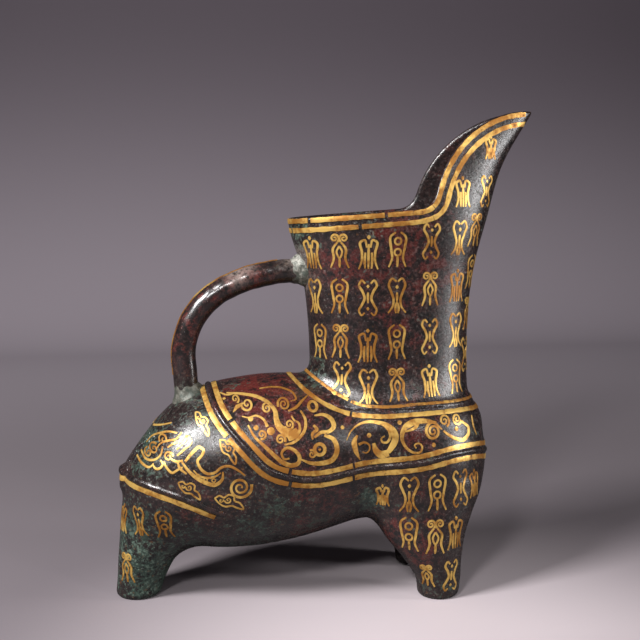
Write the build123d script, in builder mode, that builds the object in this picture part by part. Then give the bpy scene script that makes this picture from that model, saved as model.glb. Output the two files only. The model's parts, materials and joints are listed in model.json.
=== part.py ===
from build123d import *
import os

# A gold-inlaid bronze tripod pouring vessel, in millimetres.
# +X points to the spout, +Z up, and the three feet stand on Z = 0.

# Wall and seam sizes
WALL = 3.2
FOOT_FLOOR = 6.0
SEAM_GAP = 0.05
SPIGOT_HEIGHT = 7.0
SPIGOT_GAP = 0.15
LEG_SEAM_REAR = 19.0
LEG_SEAM_FRONT = 34.0
REAR_LEG_SPACE = (-130.0, -70.0)
FRONT_LEG_SPACE = (20.0, 100.0)

# Raised ribs cast on the body
RIB_PROUD = 1.1
RIB_WIDTH = 3.0

# Gold strips laid on the bronze
STRIP_THICK = 0.7
STRIP_GAP = 0.05
RIM_STRIP_WIDTH = 3.0
RIM_STRIP_PITCH = 5.4
RIM_MARGIN = 0.4
BELT_STRIP_WIDTH = 2.6
FINE_STRIP_WIDTH = 1.6
RIB_TO_STRIP = 0.5
HANDLE_STRIP_WIDTH = 2.2

# Handle bar, its pegs and its solder collars
HANDLE_HALF_WIDTH = 7.2
HANDLE_HALF_THICK = 6.5
PEG_RADIUS = 3.2
PEG_GAP = 0.1
PEG_SINK = 2.2
COLLAR_RADIUS = 13.0
COLLAR_HEIGHT = 4.0
SOLDER_EDGE = 0.4

# Neck of the vessel
NECK_BASE_Z = 103.0
CUT_REACH = 70.0

# Barrel and rump: station along X, top, bottom and half width
BARREL = [
    (-108.5, 73.0, 60.0, 9.0),
    (-105.0, 80.0, 50.0, 18.0),
    (-98.0, 90.0, 40.0, 27.0),
    (-87.0, 102.5, 32.0, 34.5),
    (-70.0, 113.0, 27.0, 39.5),
    (-45.0, 119.0, 25.5, 42.0),
    (-18.0, 120.0, 29.0, 42.5),
    (8.0, 116.0, 36.0, 40.5),
    (28.0, 108.0, 42.0, 34.0),
    (48.0, 99.0, 50.0, 22.0),
]

# Chest under the neck: height, back, front and half width
CHEST = [
    (NECK_BASE_Z, -8.0, 83.5, 31.0),
    (97.0, -10.0, 87.0, 36.0),
    (88.0, -9.0, 89.2, 39.5),
    (75.0, -6.0, 91.0, 41.5),
    (62.0, 0.0, 90.0, 40.5),
    (50.0, 7.0, 87.0, 37.0),
    (43.0, 13.0, 82.0, 31.0),
]

# Legs: height, centre along X, half length, centre off the middle, half width
REAR_LEG = [
    (0.0, -104.2, 12.0, 0.0, 12.0),
    (10.0, -102.0, 13.2, 0.0, 13.0),
    (20.0, -99.2, 15.4, 0.0, 16.0),
    (32.0, -95.0, 18.6, 0.0, 20.0),
    (50.0, -92.0, 20.0, 0.0, 23.0),
    (70.0, -88.0, 19.0, 0.0, 22.0),
]
FRONT_LEG = [
    (0.0, 58.5, 11.2, 26.0, 11.0),
    (9.0, 58.5, 12.2, 26.0, 12.0),
    (20.0, 55.5, 15.7, 25.5, 14.5),
    (33.0, 51.5, 22.0, 24.0, 17.5),
    (48.0, 50.0, 29.0, 21.0, 20.0),
    (62.0, 50.0, 32.0, 18.0, 19.0),
]

# Neck: height, back, front and half width, run on past the rim up to the spout tip
NECK = [
    (NECK_BASE_Z, -7.0, 80.5, 27.0),
    (140.0, -8.8, 80.2, 26.2),
    (176.0, -12.8, 83.4, 26.0),
    (206.0, -20.3, 91.0, 27.5),
    (234.0, -14.0, 99.3, 22.0),
    (264.0, 8.0, 116.8, 11.0),
]
NECK_WIDEST = 0.38

# Side outline of the edge: a straight rim that rises to the front and one round arc up the spout
RIM_BACK = (-45.0, 203.4)
RIM_FRONT = (140.0, 216.9)
SPOUT_CENTRE = (114.4, 203.7)
SPOUT_RADIUS = 59.9
SPOUT_START = 54.5
SPOUT_BREAK = 1.0
SPOUT_STRIP_END = 108.0
RIM_TOP_Z = 300.0

# Side outlines of the ribs and of the strips round the foot of the neck, from the back forwards
BELT_RIB = [(-67.0, 124.0), (-62.0, 107.4), (-48.4, 89.6), (-34.0, 76.0), (-18.5, 71.8),
            (14.0, 74.8), (44.0, 77.6), (66.0, 80.4), (80.0, 79.4), (100.0, 71.0)]
BELT_BREAK_X = 8.5
BELT_BREAK = 1.2
RUMP_RIB = [(-125.0, 70.0), (-105.8, 69.6), (-86.3, 65.2), (-58.0, 53.4)]
RUMP_STRIP_END = -63.5
NECK_FOOT_REAR = [(-24.0, 124.0), (-12.0, 112.6), (-2.0, 106.6), (16.0, 99.0)]
NECK_FOOT_FRONT = [(0.0, 100.4), (45.0, 100.6), (75.0, 100.2), (100.0, 97.5)]
NECK_FINE_REAR = [(-14.0, 128.0), (-4.0, 120.4), (6.0, 113.6), (18.0, 107.4)]
NECK_FINE_FRONT = [(0.0, 107.4), (40.0, 107.4), (67.0, 106.4), (100.0, 105.0)]

# Handle spine, from inside the rump up and over into the neck
HANDLE_SEAT_ROW = BARREL[4]
HANDLE_FOOT_BACK = 5.0
HANDLE_FOOT_SINK = 13.0
HANDLE_LEAN = 2.4
HANDLE_RISE = 27.0
HANDLE_FOOT = (HANDLE_SEAT_ROW[0] - HANDLE_FOOT_BACK, HANDLE_SEAT_ROW[1] - HANDLE_FOOT_SINK)
HANDLE_KNEE = (HANDLE_FOOT[0] - HANDLE_LEAN, HANDLE_FOOT[1] + HANDLE_RISE)
HANDLE_SHOULDER = (-55.0, 167.4)
HANDLE_HEAD_ROW = NECK[2]
HANDLE_HEAD_SINK = 7.0
HANDLE_HEAD = (HANDLE_HEAD_ROW[1] + HANDLE_HEAD_SINK, HANDLE_HEAD_ROW[0])
HANDLE_STRIP_FOOT_Z = 121.0
HANDLE_STRIP_HEAD_X = -25.0


def ellipse_along_x(rows, inset):
    """Solid lofted through upright ellipses set along X, drawn in by inset."""
    with BuildPart() as solid:
        for number, (x, top, bottom, half_width) in enumerate(rows):
            shift = inset if number == 0 else -inset if number == len(rows) - 1 else 0.0
            with BuildSketch(Plane.YZ.offset(x + shift)):
                with Locations((0, (top + bottom) / 2)):
                    Ellipse(half_width - inset, (top - bottom) / 2 - inset)
        loft()
    return solid.part


def chest_solid(inset):
    """Solid lofted through level ellipses from the shoulder down, drawn in by inset."""
    with BuildPart() as solid:
        for number, (z, back, front, half_width) in enumerate(CHEST):
            shift = -inset if number == 0 else inset if number == len(CHEST) - 1 else 0.0
            with BuildSketch(Plane.XY.offset(z + shift)):
                with Locations(((back + front) / 2, 0)):
                    Ellipse((front - back) / 2 - inset, half_width - inset)
        loft()
    return solid.part


def leg_solid(rows, side, inset, floor):
    """Solid lofted up a leg on the given side, drawn in by inset, starting at floor."""
    with BuildPart() as solid:
        for number, (z, x, half_length, y, half_width) in enumerate(rows):
            with BuildSketch(Plane.XY.offset(floor if number == 0 else z)):
                with Locations((x, side * y)):
                    Ellipse(half_length - inset, half_width - inset)
        loft()
    return solid.part


def egg_section(level, back, front, half_width):
    """Egg-shaped face at a level: a short back half ellipse and a longer front one."""
    widest = back + NECK_WIDEST * (front - back)
    with BuildSketch(Plane.XY.offset(level)) as section:
        with BuildLine():
            EllipticalCenterArc((widest, 0), widest - back, half_width, 90, arc_size=180)
            EllipticalCenterArc((widest, 0), front - widest, half_width, -90, arc_size=180)
        make_face()
    return section.sketch


def neck_solid(inset):
    """Solid lofted up the neck and on to the spout tip, drawn in by inset."""
    with BuildPart() as solid:
        for z, back, front, half_width in NECK:
            add(egg_section(z, back + inset, front - inset, half_width - inset))
        loft()
    return solid.part


def body_form(inset, floor):
    """The barrel, chest and three legs as one solid, drawn in by inset."""
    with BuildPart() as form:
        add(ellipse_along_x(BARREL, inset))
        add(chest_solid(inset))
        add(leg_solid(REAR_LEG, 1, inset, floor))
        add(leg_solid(FRONT_LEG, 1, inset, floor))
        add(leg_solid(FRONT_LEG, -1, inset, floor))
    return form.part


def side_strip(points, width):
    """Upright slab of the given width along a curve drawn in the side view."""
    with BuildPart() as slab:
        with BuildSketch(Plane.XZ):
            with BuildLine():
                Spline(*points)
            trace(line_width=width)
        extrude(amount=CUT_REACH, both=True)
    return slab.part


def above_curve(points):
    """Everything above a curve drawn in the side view."""
    first, last = points[0], points[-1]
    with BuildPart() as space:
        with BuildSketch(Plane.XZ):
            with BuildLine():
                Spline(*points)
                Polyline(last, (last[0], RIM_TOP_Z), (first[0], RIM_TOP_Z), first)
            make_face()
        extrude(amount=CUT_REACH, both=True)
    return space.part


def above_rim(drop):
    """Everything above the straight rim, lowered by drop."""
    with BuildPart() as space:
        with BuildSketch(Plane.XZ):
            with BuildLine():
                Polyline((RIM_BACK[0], RIM_BACK[1] - drop), (RIM_FRONT[0], RIM_FRONT[1] - drop),
                         (RIM_FRONT[0], RIM_TOP_Z), (RIM_BACK[0], RIM_TOP_Z), close=True)
            make_face()
        extrude(amount=CUT_REACH, both=True)
    return space.part


def inside_spout(drop):
    """Round space whose edge is the spout's arc in the side view, drawn in by drop."""
    with BuildPart() as space:
        with BuildSketch(Plane.XZ):
            with Locations(SPOUT_CENTRE):
                Circle(SPOUT_RADIUS - drop)
        extrude(amount=CUT_REACH, both=True)
    return space.part


def mouth_cut():
    """What is cut away above the rim and behind the spout's edge."""
    with BuildPart() as cut:
        add(above_rim(0.0))
        add(inside_spout(0.0), mode=Mode.SUBTRACT)
    return cut.part


def between_x(low, high):
    """Slab of space between two stations along X."""
    with BuildPart() as slab:
        with BuildSketch(Plane.YZ.offset(low)):
            Rectangle(2 * RIM_TOP_Z, 2 * RIM_TOP_Z)
        extrude(amount=high - low)
    return slab.part


def rim_band(start):
    """Band below the straight rim, as wide as a rim strip."""
    with BuildPart() as band:
        add(above_rim(start + RIM_STRIP_WIDTH))
        add(above_rim(start), mode=Mode.SUBTRACT)
        add(between_x(RIM_BACK[0], SPOUT_START - SPOUT_BREAK / 2), mode=Mode.INTERSECT)
    return band.part


def spout_band(start):
    """Band inside the spout's arc, as wide as a rim strip."""
    with BuildPart() as band:
        add(inside_spout(start))
        add(inside_spout(start + RIM_STRIP_WIDTH), mode=Mode.SUBTRACT)
        add(above_rim(0.0), mode=Mode.INTERSECT)
        add(between_x(SPOUT_START + SPOUT_BREAK / 2, SPOUT_STRIP_END), mode=Mode.INTERSECT)
    return band.part


def beside_rib(path, upper):
    """Band beside a rib on its upper or lower side, as wide as a belt strip."""
    with BuildPart() as band:
        add(side_strip(path, RIB_WIDTH + 2 * (RIB_TO_STRIP + BELT_STRIP_WIDTH)))
        add(side_strip(path, RIB_WIDTH + 2 * RIB_TO_STRIP), mode=Mode.SUBTRACT)
        add(above_curve(path), mode=Mode.INTERSECT if upper else Mode.SUBTRACT)
    return band.part


def laid_on(form, band):
    """Thin layer of gold on the body or neck, inside a band."""
    with BuildPart() as layer:
        add(strip_face[form])
        add(band, mode=Mode.INTERSECT)
        add(strip_floor[form], mode=Mode.SUBTRACT)
    return layer.part


def draw_spine():
    """Draw the handle's middle line in the open line: a straight rise and two tangent arcs."""
    rise = Line(HANDLE_FOOT, HANDLE_KNEE)
    bend = TangentArc(HANDLE_KNEE, HANDLE_SHOULDER, tangent=rise % 1)
    TangentArc(HANDLE_SHOULDER, HANDLE_HEAD, tangent=bend % 1)


def handle_spine():
    """Middle line of the handle in the side view."""
    with BuildLine(Plane.XZ) as spine:
        draw_spine()
    return spine.line


def across_handle(share):
    """Plane square to the handle's spine at a share of its length."""
    spine = handle_spine()
    return Plane(origin=spine @ share, x_dir=(0, 1, 0), z_dir=spine % share)


def handle_bar(grow):
    """The bent bar of the handle with its ends run on into neck and rump, fattened by grow."""
    with BuildPart() as bar:
        with BuildSketch(across_handle(0)):
            Ellipse(HANDLE_HALF_WIDTH + grow, HANDLE_HALF_THICK + grow)
        sweep(path=handle_spine())
    return bar.part


def inside_handle():
    """The space under the handle's spine."""
    corner = (HANDLE_HEAD[0], HANDLE_FOOT[1])
    with BuildPart() as space:
        with BuildSketch(Plane.XZ):
            with BuildLine():
                draw_spine()
                Polyline(HANDLE_HEAD, corner, HANDLE_FOOT)
            make_face()
        extrude(amount=CUT_REACH, both=True)
    return space.part


def rump_peg(grow):
    """Round peg on the handle's foot that stops inside the wall of the rump, fattened by grow."""
    with BuildPart() as peg:
        with BuildSketch(across_handle(0)):
            Circle(PEG_RADIUS + grow)
        extrude(amount=rump_collar_reach)
        add(ellipse_along_x(BARREL, PEG_SINK + grow), mode=Mode.SUBTRACT)
    return peg.part


def neck_peg(grow):
    """Round peg on the handle's head that stops inside the wall of the neck, fattened by grow."""
    with BuildPart() as peg:
        with BuildSketch(across_handle(1)):
            Circle(PEG_RADIUS + grow)
        extrude(amount=-neck_collar_reach)
        add(neck_solid(PEG_SINK + grow), mode=Mode.SUBTRACT)
    return peg.part


def solder_collar(share, reach):
    """Cone of solder round one end of the handle, before it is trimmed to its neighbours."""
    end = across_handle(share)
    direction = 1 if share == 0 else -1
    with BuildPart() as cone:
        with BuildSketch(end):
            Circle(COLLAR_RADIUS)
        with BuildSketch(end.offset(direction * reach)):
            Circle(HANDLE_HALF_WIDTH + SOLDER_EDGE)
        loft()
    return cone.part


def handle_gold():
    """Gold line laid along the outer spine of the handle."""
    with BuildPart() as gold:
        add(handle_bar(STRIP_GAP + STRIP_THICK))
        add(handle_bar(STRIP_GAP), mode=Mode.SUBTRACT)
        add(inside_handle(), mode=Mode.SUBTRACT)
        with BuildSketch(Plane.XY.offset(HANDLE_STRIP_FOOT_Z)):
            with Locations((HANDLE_STRIP_HEAD_X, 0)):
                Rectangle(RIM_TOP_Z, HANDLE_STRIP_WIDTH, align=(Align.MAX, Align.CENTER))
        extrude(amount=RIM_TOP_Z, mode=Mode.INTERSECT)
    return gold.part


def leg_space(seam, low, high, side):
    """Box of space under a leg's seam, on one side of the middle where side is not zero."""
    depth = (Align.CENTER, Align.MIN, Align.MAX)[side]
    with BuildPart() as space:
        with BuildSketch(Plane.XY.offset(-FOOT_FLOOR)):
            with Locations((low, 0)):
                Rectangle(high - low, 2 * CUT_REACH, align=(Align.MIN, depth))
        extrude(amount=seam + FOOT_FLOOR)
    return space.part


def leg_spigot(rows, side, seam, inset, reach):
    """Core of a leg just above its seam, drawn in by inset."""
    with BuildPart() as core:
        add(leg_solid(rows, side, inset, 0.0))
        with BuildSketch(Plane.XY.offset(seam)):
            Rectangle(2 * RIM_TOP_Z, 2 * RIM_TOP_Z)
        extrude(amount=reach, mode=Mode.INTERSECT)
    return core.part


def neck_plug(inset, reach):
    """Egg-shaped plug below the foot of the neck, drawn in by inset."""
    z, back, front, half_width = NECK[0]
    with BuildPart() as plug:
        add(egg_section(z - reach, back + inset, front - inset, half_width - inset))
        extrude(amount=reach)
    return plug.part


def raised_ribs():
    """The belt rib and the rump rib, standing proud of the body."""
    with BuildPart() as ribs:
        add(side_strip(BELT_RIB, RIB_WIDTH))
        add(side_strip(RUMP_RIB, RIB_WIDTH))
        add(body_form(-RIB_PROUD, 0.0), mode=Mode.INTERSECT)
    return ribs.part


# Solids that several pieces are cut from or fitted to
HALF_WALL = WALL / 2
SPIGOT_INSET = HALF_WALL + SPIGOT_GAP / 2
SOCKET_INSET = HALF_WALL - SPIGOT_GAP / 2
LEGS = {
    "rear_leg": (REAR_LEG, 0, LEG_SEAM_REAR, REAR_LEG_SPACE),
    "front_leg_left": (FRONT_LEG, 1, LEG_SEAM_FRONT, FRONT_LEG_SPACE),
    "front_leg_right": (FRONT_LEG, -1, LEG_SEAM_FRONT, FRONT_LEG_SPACE),
}
outer_body = body_form(0.0, 0.0)
inner_body = body_form(WALL, FOOT_FLOOR)
strip_rise = STRIP_GAP + STRIP_THICK
strip_face = {"body": body_form(-strip_rise, 0.0), "neck": neck_solid(-strip_rise)}
strip_floor = {"body": body_form(-STRIP_GAP, 0.0), "neck": neck_solid(-STRIP_GAP)}
neck_passage = neck_solid(-SEAM_GAP)
belt_width = RIB_WIDTH + 2 * (RIB_TO_STRIP + BELT_STRIP_WIDTH)
neck_collar_reach = HANDLE_HEAD[0] - HANDLE_HEAD_ROW[1] + COLLAR_HEIGHT
rump_collar_reach = HANDLE_SEAT_ROW[1] - HANDLE_FOOT[1] + COLLAR_HEIGHT

os.makedirs("parts", exist_ok=True)


def keep(builder, name):
    """Label a finished piece and write it."""
    builder.part.label = name
    export_step(builder.part, f"parts/{name}.step")


# Barrel, rump, chest and shoulder
with BuildPart() as body_shell:
    add(raised_ribs())
    add(outer_body)
    add(inner_body, mode=Mode.SUBTRACT)
    add(neck_passage, mode=Mode.SUBTRACT)
    add(neck_plug(SOCKET_INSET, SPIGOT_HEIGHT), mode=Mode.SUBTRACT)
    for rows, side, seam, (low, high) in LEGS.values():
        add(leg_space(seam, low, high, side), mode=Mode.SUBTRACT)
        add(leg_spigot(rows, side, seam, SOCKET_INSET, SPIGOT_HEIGHT + SPIGOT_GAP), mode=Mode.SUBTRACT)
    add(rump_peg(PEG_GAP), mode=Mode.SUBTRACT)
keep(body_shell, "body_shell")

# Neck with its rim, spout and the spigot that enters the shoulder
with BuildPart() as neck_spout:
    add(neck_solid(0.0))
    add(neck_plug(SPIGOT_INSET, SPIGOT_HEIGHT))
    add(neck_solid(WALL), mode=Mode.SUBTRACT)
    add(neck_plug(WALL, SPIGOT_HEIGHT), mode=Mode.SUBTRACT)
    add(mouth_cut(), mode=Mode.SUBTRACT)
    add(neck_peg(PEG_GAP), mode=Mode.SUBTRACT)
keep(neck_spout, "neck_spout")

# Three hollow legs, each with a spigot that enters the body
for name, (rows, side, seam, (low, high)) in LEGS.items():
    with BuildPart() as leg:
        add(outer_body)
        add(leg_space(seam, low, high, side), mode=Mode.INTERSECT)
        add(leg_spigot(rows, side, seam, SPIGOT_INSET, SPIGOT_HEIGHT))
        add(inner_body, mode=Mode.SUBTRACT)
        add(leg_solid(rows, side, WALL, FOOT_FLOOR), mode=Mode.SUBTRACT)
    keep(leg, name)

# Loop handle with a peg at each end
with BuildPart() as handle:
    add(handle_bar(0.0))
    add(ellipse_along_x(BARREL, -SEAM_GAP), mode=Mode.SUBTRACT)
    add(neck_passage, mode=Mode.SUBTRACT)
    add(rump_peg(0.0))
    add(neck_peg(0.0))
keep(handle, "handle")

# Solder run round the two ends of the handle
with BuildPart() as handle_back_solder:
    add(solder_collar(0, rump_collar_reach))
    add(handle_bar(SEAM_GAP), mode=Mode.SUBTRACT)
    add(ellipse_along_x(BARREL, -SEAM_GAP), mode=Mode.SUBTRACT)
    add(side_strip(BELT_RIB, belt_width + 2 * SEAM_GAP), mode=Mode.SUBTRACT)
keep(handle_back_solder, "handle_back_solder")

with BuildPart() as handle_neck_solder:
    add(solder_collar(1, neck_collar_reach))
    add(handle_bar(SEAM_GAP), mode=Mode.SUBTRACT)
    add(neck_passage, mode=Mode.SUBTRACT)
keep(handle_neck_solder, "handle_neck_solder")

# Gold laid in two lines along the rim and along both edges of the spout
for start, rim_name, spout_name in (
    (RIM_MARGIN, "rim_strip_upper", "spout_strips_outer"),
    (RIM_MARGIN + RIM_STRIP_PITCH, "rim_strip_lower", "spout_strips_inner"),
):
    with BuildPart() as rim_strip:
        add(laid_on("neck", rim_band(start)))
    keep(rim_strip, rim_name)
    with BuildPart() as spout_strips:
        add(laid_on("neck", spout_band(start)))
    keep(spout_strips, spout_name)

# Gold beside the belt rib, cut into a rear saddle length and a front length
saddle_ends = (RUMP_RIB[0][0], BELT_BREAK_X - BELT_BREAK / 2)
front_ends = (BELT_BREAK_X + BELT_BREAK / 2, RIM_FRONT[0])
for upper, saddle_name, belt_name in (
    (True, "saddle_strip_inner", "belt_strip_upper"),
    (False, "saddle_strip_outer", "belt_strip_lower"),
):
    belt_gold = laid_on("body", beside_rib(BELT_RIB, upper))
    for name, ends in ((saddle_name, saddle_ends), (belt_name, front_ends)):
        with BuildPart() as strip:
            add(belt_gold)
            add(between_x(*ends), mode=Mode.INTERSECT)
        keep(strip, name)

with BuildPart() as rump_strip:
    add(laid_on("body", beside_rib(RUMP_RIB, False)))
    add(between_x(RUMP_RIB[0][0], RUMP_STRIP_END), mode=Mode.INTERSECT)
keep(rump_strip, "rump_strip")

# Gold round the foot of the neck: a broad line on the shoulder and a fine line on the neck
for name, form, path, width, ends in (
    ("neck_foot_strip_rear", "body", NECK_FOOT_REAR, BELT_STRIP_WIDTH, saddle_ends),
    ("neck_foot_strip_front", "body", NECK_FOOT_FRONT, BELT_STRIP_WIDTH, front_ends),
    ("neck_fine_strip_rear", "neck", NECK_FINE_REAR, FINE_STRIP_WIDTH, saddle_ends),
    ("neck_fine_strip_front", "neck", NECK_FINE_FRONT, FINE_STRIP_WIDTH, front_ends),
):
    with BuildPart() as strip:
        add(laid_on(form, side_strip(path, width)))
        add(between_x(*ends), mode=Mode.INTERSECT)
        add(neck_passage if form == "body" else strip_floor["body"], mode=Mode.SUBTRACT)
    keep(strip, name)

with BuildPart() as handle_strip:
    add(handle_gold())
keep(handle_strip, "handle_strip")
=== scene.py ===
"""Looks of a gold-inlaid bronze tripod pouring vessel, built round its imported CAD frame.

Sizes are millimetres in the frame of the part, with +X to the spout and +Z up. Meshes are made in metres.
"""

from __future__ import annotations

import json
import logging
import math
from dataclasses import dataclass, field, replace
from enum import Enum
from typing import Any, Callable, Sequence, Union

import bpy
import numpy as np
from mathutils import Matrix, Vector

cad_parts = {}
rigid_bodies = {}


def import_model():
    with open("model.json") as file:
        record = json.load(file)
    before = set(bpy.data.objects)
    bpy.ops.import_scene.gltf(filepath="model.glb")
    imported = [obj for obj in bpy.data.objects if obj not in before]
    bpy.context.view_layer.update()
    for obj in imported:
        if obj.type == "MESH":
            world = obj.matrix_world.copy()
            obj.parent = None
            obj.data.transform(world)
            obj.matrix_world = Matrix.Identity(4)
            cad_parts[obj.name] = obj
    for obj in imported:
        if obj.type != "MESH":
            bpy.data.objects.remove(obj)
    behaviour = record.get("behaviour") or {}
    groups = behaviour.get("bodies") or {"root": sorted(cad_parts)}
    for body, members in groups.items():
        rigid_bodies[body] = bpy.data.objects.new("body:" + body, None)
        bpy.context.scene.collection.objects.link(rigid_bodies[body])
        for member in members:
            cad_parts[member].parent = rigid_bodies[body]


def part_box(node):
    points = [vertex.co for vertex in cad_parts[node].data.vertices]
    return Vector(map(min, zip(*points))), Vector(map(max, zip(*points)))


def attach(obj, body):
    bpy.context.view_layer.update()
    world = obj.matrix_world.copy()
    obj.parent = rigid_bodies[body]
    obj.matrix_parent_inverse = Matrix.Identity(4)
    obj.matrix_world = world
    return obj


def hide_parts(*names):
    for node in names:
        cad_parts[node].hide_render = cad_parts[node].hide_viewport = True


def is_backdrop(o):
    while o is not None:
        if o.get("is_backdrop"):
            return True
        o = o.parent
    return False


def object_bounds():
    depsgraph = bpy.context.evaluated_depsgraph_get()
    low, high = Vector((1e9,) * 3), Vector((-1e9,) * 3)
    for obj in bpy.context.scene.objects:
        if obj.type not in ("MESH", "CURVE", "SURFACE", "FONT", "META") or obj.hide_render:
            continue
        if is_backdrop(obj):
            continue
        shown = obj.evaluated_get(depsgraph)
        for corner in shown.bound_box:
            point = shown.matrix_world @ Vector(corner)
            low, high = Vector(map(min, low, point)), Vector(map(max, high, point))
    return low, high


LOG = logging.getLogger("vessel")
MM = 0.001
ROOT = "root"

Array = np.ndarray
Form = Callable[[Array], Array]
Colour = tuple[float, float, float]
Row = tuple[float, ...]
Point = tuple[float, float]
Place = tuple[float, float, float]
Line = tuple[Array, Array, Array]

# Inset of all pieces from the CAD box in metres.
ROOM_INSET = 2e-5
# Start of the search for the skin from a side, and the halvings that refine it.
OUTERMOST = 46.0
HALVINGS = 9
# Share of its radius over which a spiral winds in.
CURL_CLOSE = 0.88
# Edges of a ribbon that turn by more than this angle in radians stay crisp.
CRISP_ANGLE = 0.8
# Points of a ribbon closer than this in metres are joined.
WELD = 1e-6


class Slot(Enum):
    """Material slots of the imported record."""

    BRONZE = "bronze"
    GOLD = "gold"
    SOLDER = "solder"


class Side(Enum):
    """The two sides of the vessel, as signs of Y."""

    RIGHT = -1.0
    LEFT = 1.0


class Shade:
    """One output of a shader node, usable in sums like a number."""

    def __init__(self, tree: "ShaderTree", socket: bpy.types.NodeSocket) -> None:
        """Keep the tree and the socket."""
        self.tree = tree
        self.socket = socket

    def __add__(self, other: "Value") -> "Shade":
        """This plus other."""
        return self.tree.math("ADD", self, other)

    def __sub__(self, other: "Value") -> "Shade":
        """This minus other."""
        return self.tree.math("SUBTRACT", self, other)

    def __rsub__(self, other: "Value") -> "Shade":
        """Other minus this."""
        return self.tree.math("SUBTRACT", other, self)

    def __mul__(self, other: "Value") -> "Shade":
        """This times other."""
        return self.tree.math("MULTIPLY", self, other)

    def __truediv__(self, other: "Value") -> "Shade":
        """This over other."""
        return self.tree.math("DIVIDE", self, other)

    def __rtruediv__(self, other: "Value") -> "Shade":
        """Other over this."""
        return self.tree.math("DIVIDE", other, self)

    __radd__ = __add__
    __rmul__ = __mul__

    def between(self, low: float, high: float) -> "Shade":
        """Rise smoothly from 0 at low to 1 at high.

        Args:
            low: Value that gives 0.
            high: Value that gives 1.

        Returns:
            The smoothed share.
        """
        node = self.tree.node(
            "ShaderNodeMapRange",
            {"interpolation_type": "SMOOTHSTEP"},
            {"Value": self, "From Min": low, "From Max": high},
        )
        return Shade(self.tree, node.outputs["Result"])


Value = Union[Shade, float]


class ShaderTree:
    """Node tree of one material, with short calls for its nodes."""

    def __init__(self, name: str) -> None:
        """Make the material and clear its tree.

        Args:
            name: Name of the material.
        """
        self.material = bpy.data.materials.new(name)
        self.material.use_nodes = True
        self.tree = self.material.node_tree
        self.tree.nodes.clear()
        place = self.node("ShaderNodeTexCoord")
        self.place = Shade(self, place.outputs["Object"])

    def node(self, kind: str, settings: dict[str, Any] | None = None,
             inputs: dict[str, Any] | None = None) -> bpy.types.Node:
        """Make any node.

        Args:
            kind: Node type.
            settings: Properties to set on the node.
            inputs: Socket names or identifiers with a value or a Shade each.

        Returns:
            The node.
        """
        made = self.tree.nodes.new(kind)
        for key, value in (settings or {}).items():
            setattr(made, key, value)
        for key, value in (inputs or {}).items():
            socket = next(s for s in made.inputs if key in (s.identifier, s.name) and s.enabled)
            if isinstance(value, Shade):
                self.tree.links.new(value.socket, socket)
            else:
                socket.default_value = value
        return made

    def math(self, operation: str, first: Value, second: Value) -> Shade:
        """One Math node.

        Args:
            operation: Name of the sum.
            first: First value.
            second: Second value.

        Returns:
            The result.
        """
        made = self.node("ShaderNodeMath", {"operation": operation}, {"Value": first, "Value_001": second})
        return Shade(self, made.outputs["Value"])

    def mix(self, share: Value, first: Shade | Colour, second: Shade | Colour) -> Shade:
        """Mix two colours.

        Args:
            share: How much of the second colour shows.
            first: First colour.
            second: Second colour.

        Returns:
            The mixed colour.
        """
        inputs = {"Factor_Float": share}
        for key, value in (("A_Color", first), ("B_Color", second)):
            inputs[key] = value if isinstance(value, Shade) else (*value, 1.0)
        made = self.node("ShaderNodeMix", {"data_type": "RGBA"}, inputs)
        return Shade(self, next(s for s in made.outputs if s.identifier == "Result_Color"))

    def noise(self, grain: float, detail: float = 3.0, rough: float = 0.55, shift: float = 0.0) -> Shade:
        """Noise about 0.5 in object space.

        Args:
            grain: Size of a patch in millimetres.
            detail: Number of finer layers.
            rough: Strength of the finer layers.
            shift: Move along all axes in metres, so that two noises differ.

        Returns:
            The noise.
        """
        moved = self.node("ShaderNodeVectorMath", {"operation": "ADD"},
                          {"Vector": self.place, "Vector_001": (shift, shift, shift)})
        made = self.node("ShaderNodeTexNoise", {}, {
            "Vector": Shade(self, moved.outputs["Vector"]), "Scale": 1.0 / (grain * MM),
            "Detail": detail, "Roughness": rough})
        return Shade(self, made.outputs[0])

    def axis(self, name: str) -> Shade:
        """Object coordinate along one axis in metres."""
        return Shade(self, self.node("ShaderNodeSeparateXYZ", {}, {"Vector": self.place}).outputs[name])

    def attribute(self, name: str) -> Shade:
        """Number stored on the mesh under a name, 0 where there is none."""
        return Shade(self, self.node("ShaderNodeAttribute", {"attribute_name": name}).outputs["Fac"])

    def surface(self, inputs: dict[str, Any], height: Shade, depth: float) -> bpy.types.Material:
        """Close the tree with a Principled surface.

        Args:
            inputs: Inputs of the Principled node.
            height: Relief that feeds the bump.
            depth: Depth of the relief in millimetres.

        Returns:
            The material.
        """
        bump = self.node("ShaderNodeBump", {}, {"Height": height, "Distance": depth * MM})
        inputs["Normal"] = Shade(self, bump.outputs["Normal"])
        closed = self.node("ShaderNodeBsdfPrincipled", {}, inputs)
        end = self.node("ShaderNodeOutputMaterial")
        self.tree.links.new(closed.outputs["BSDF"], end.inputs["Surface"])
        return self.material


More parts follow.
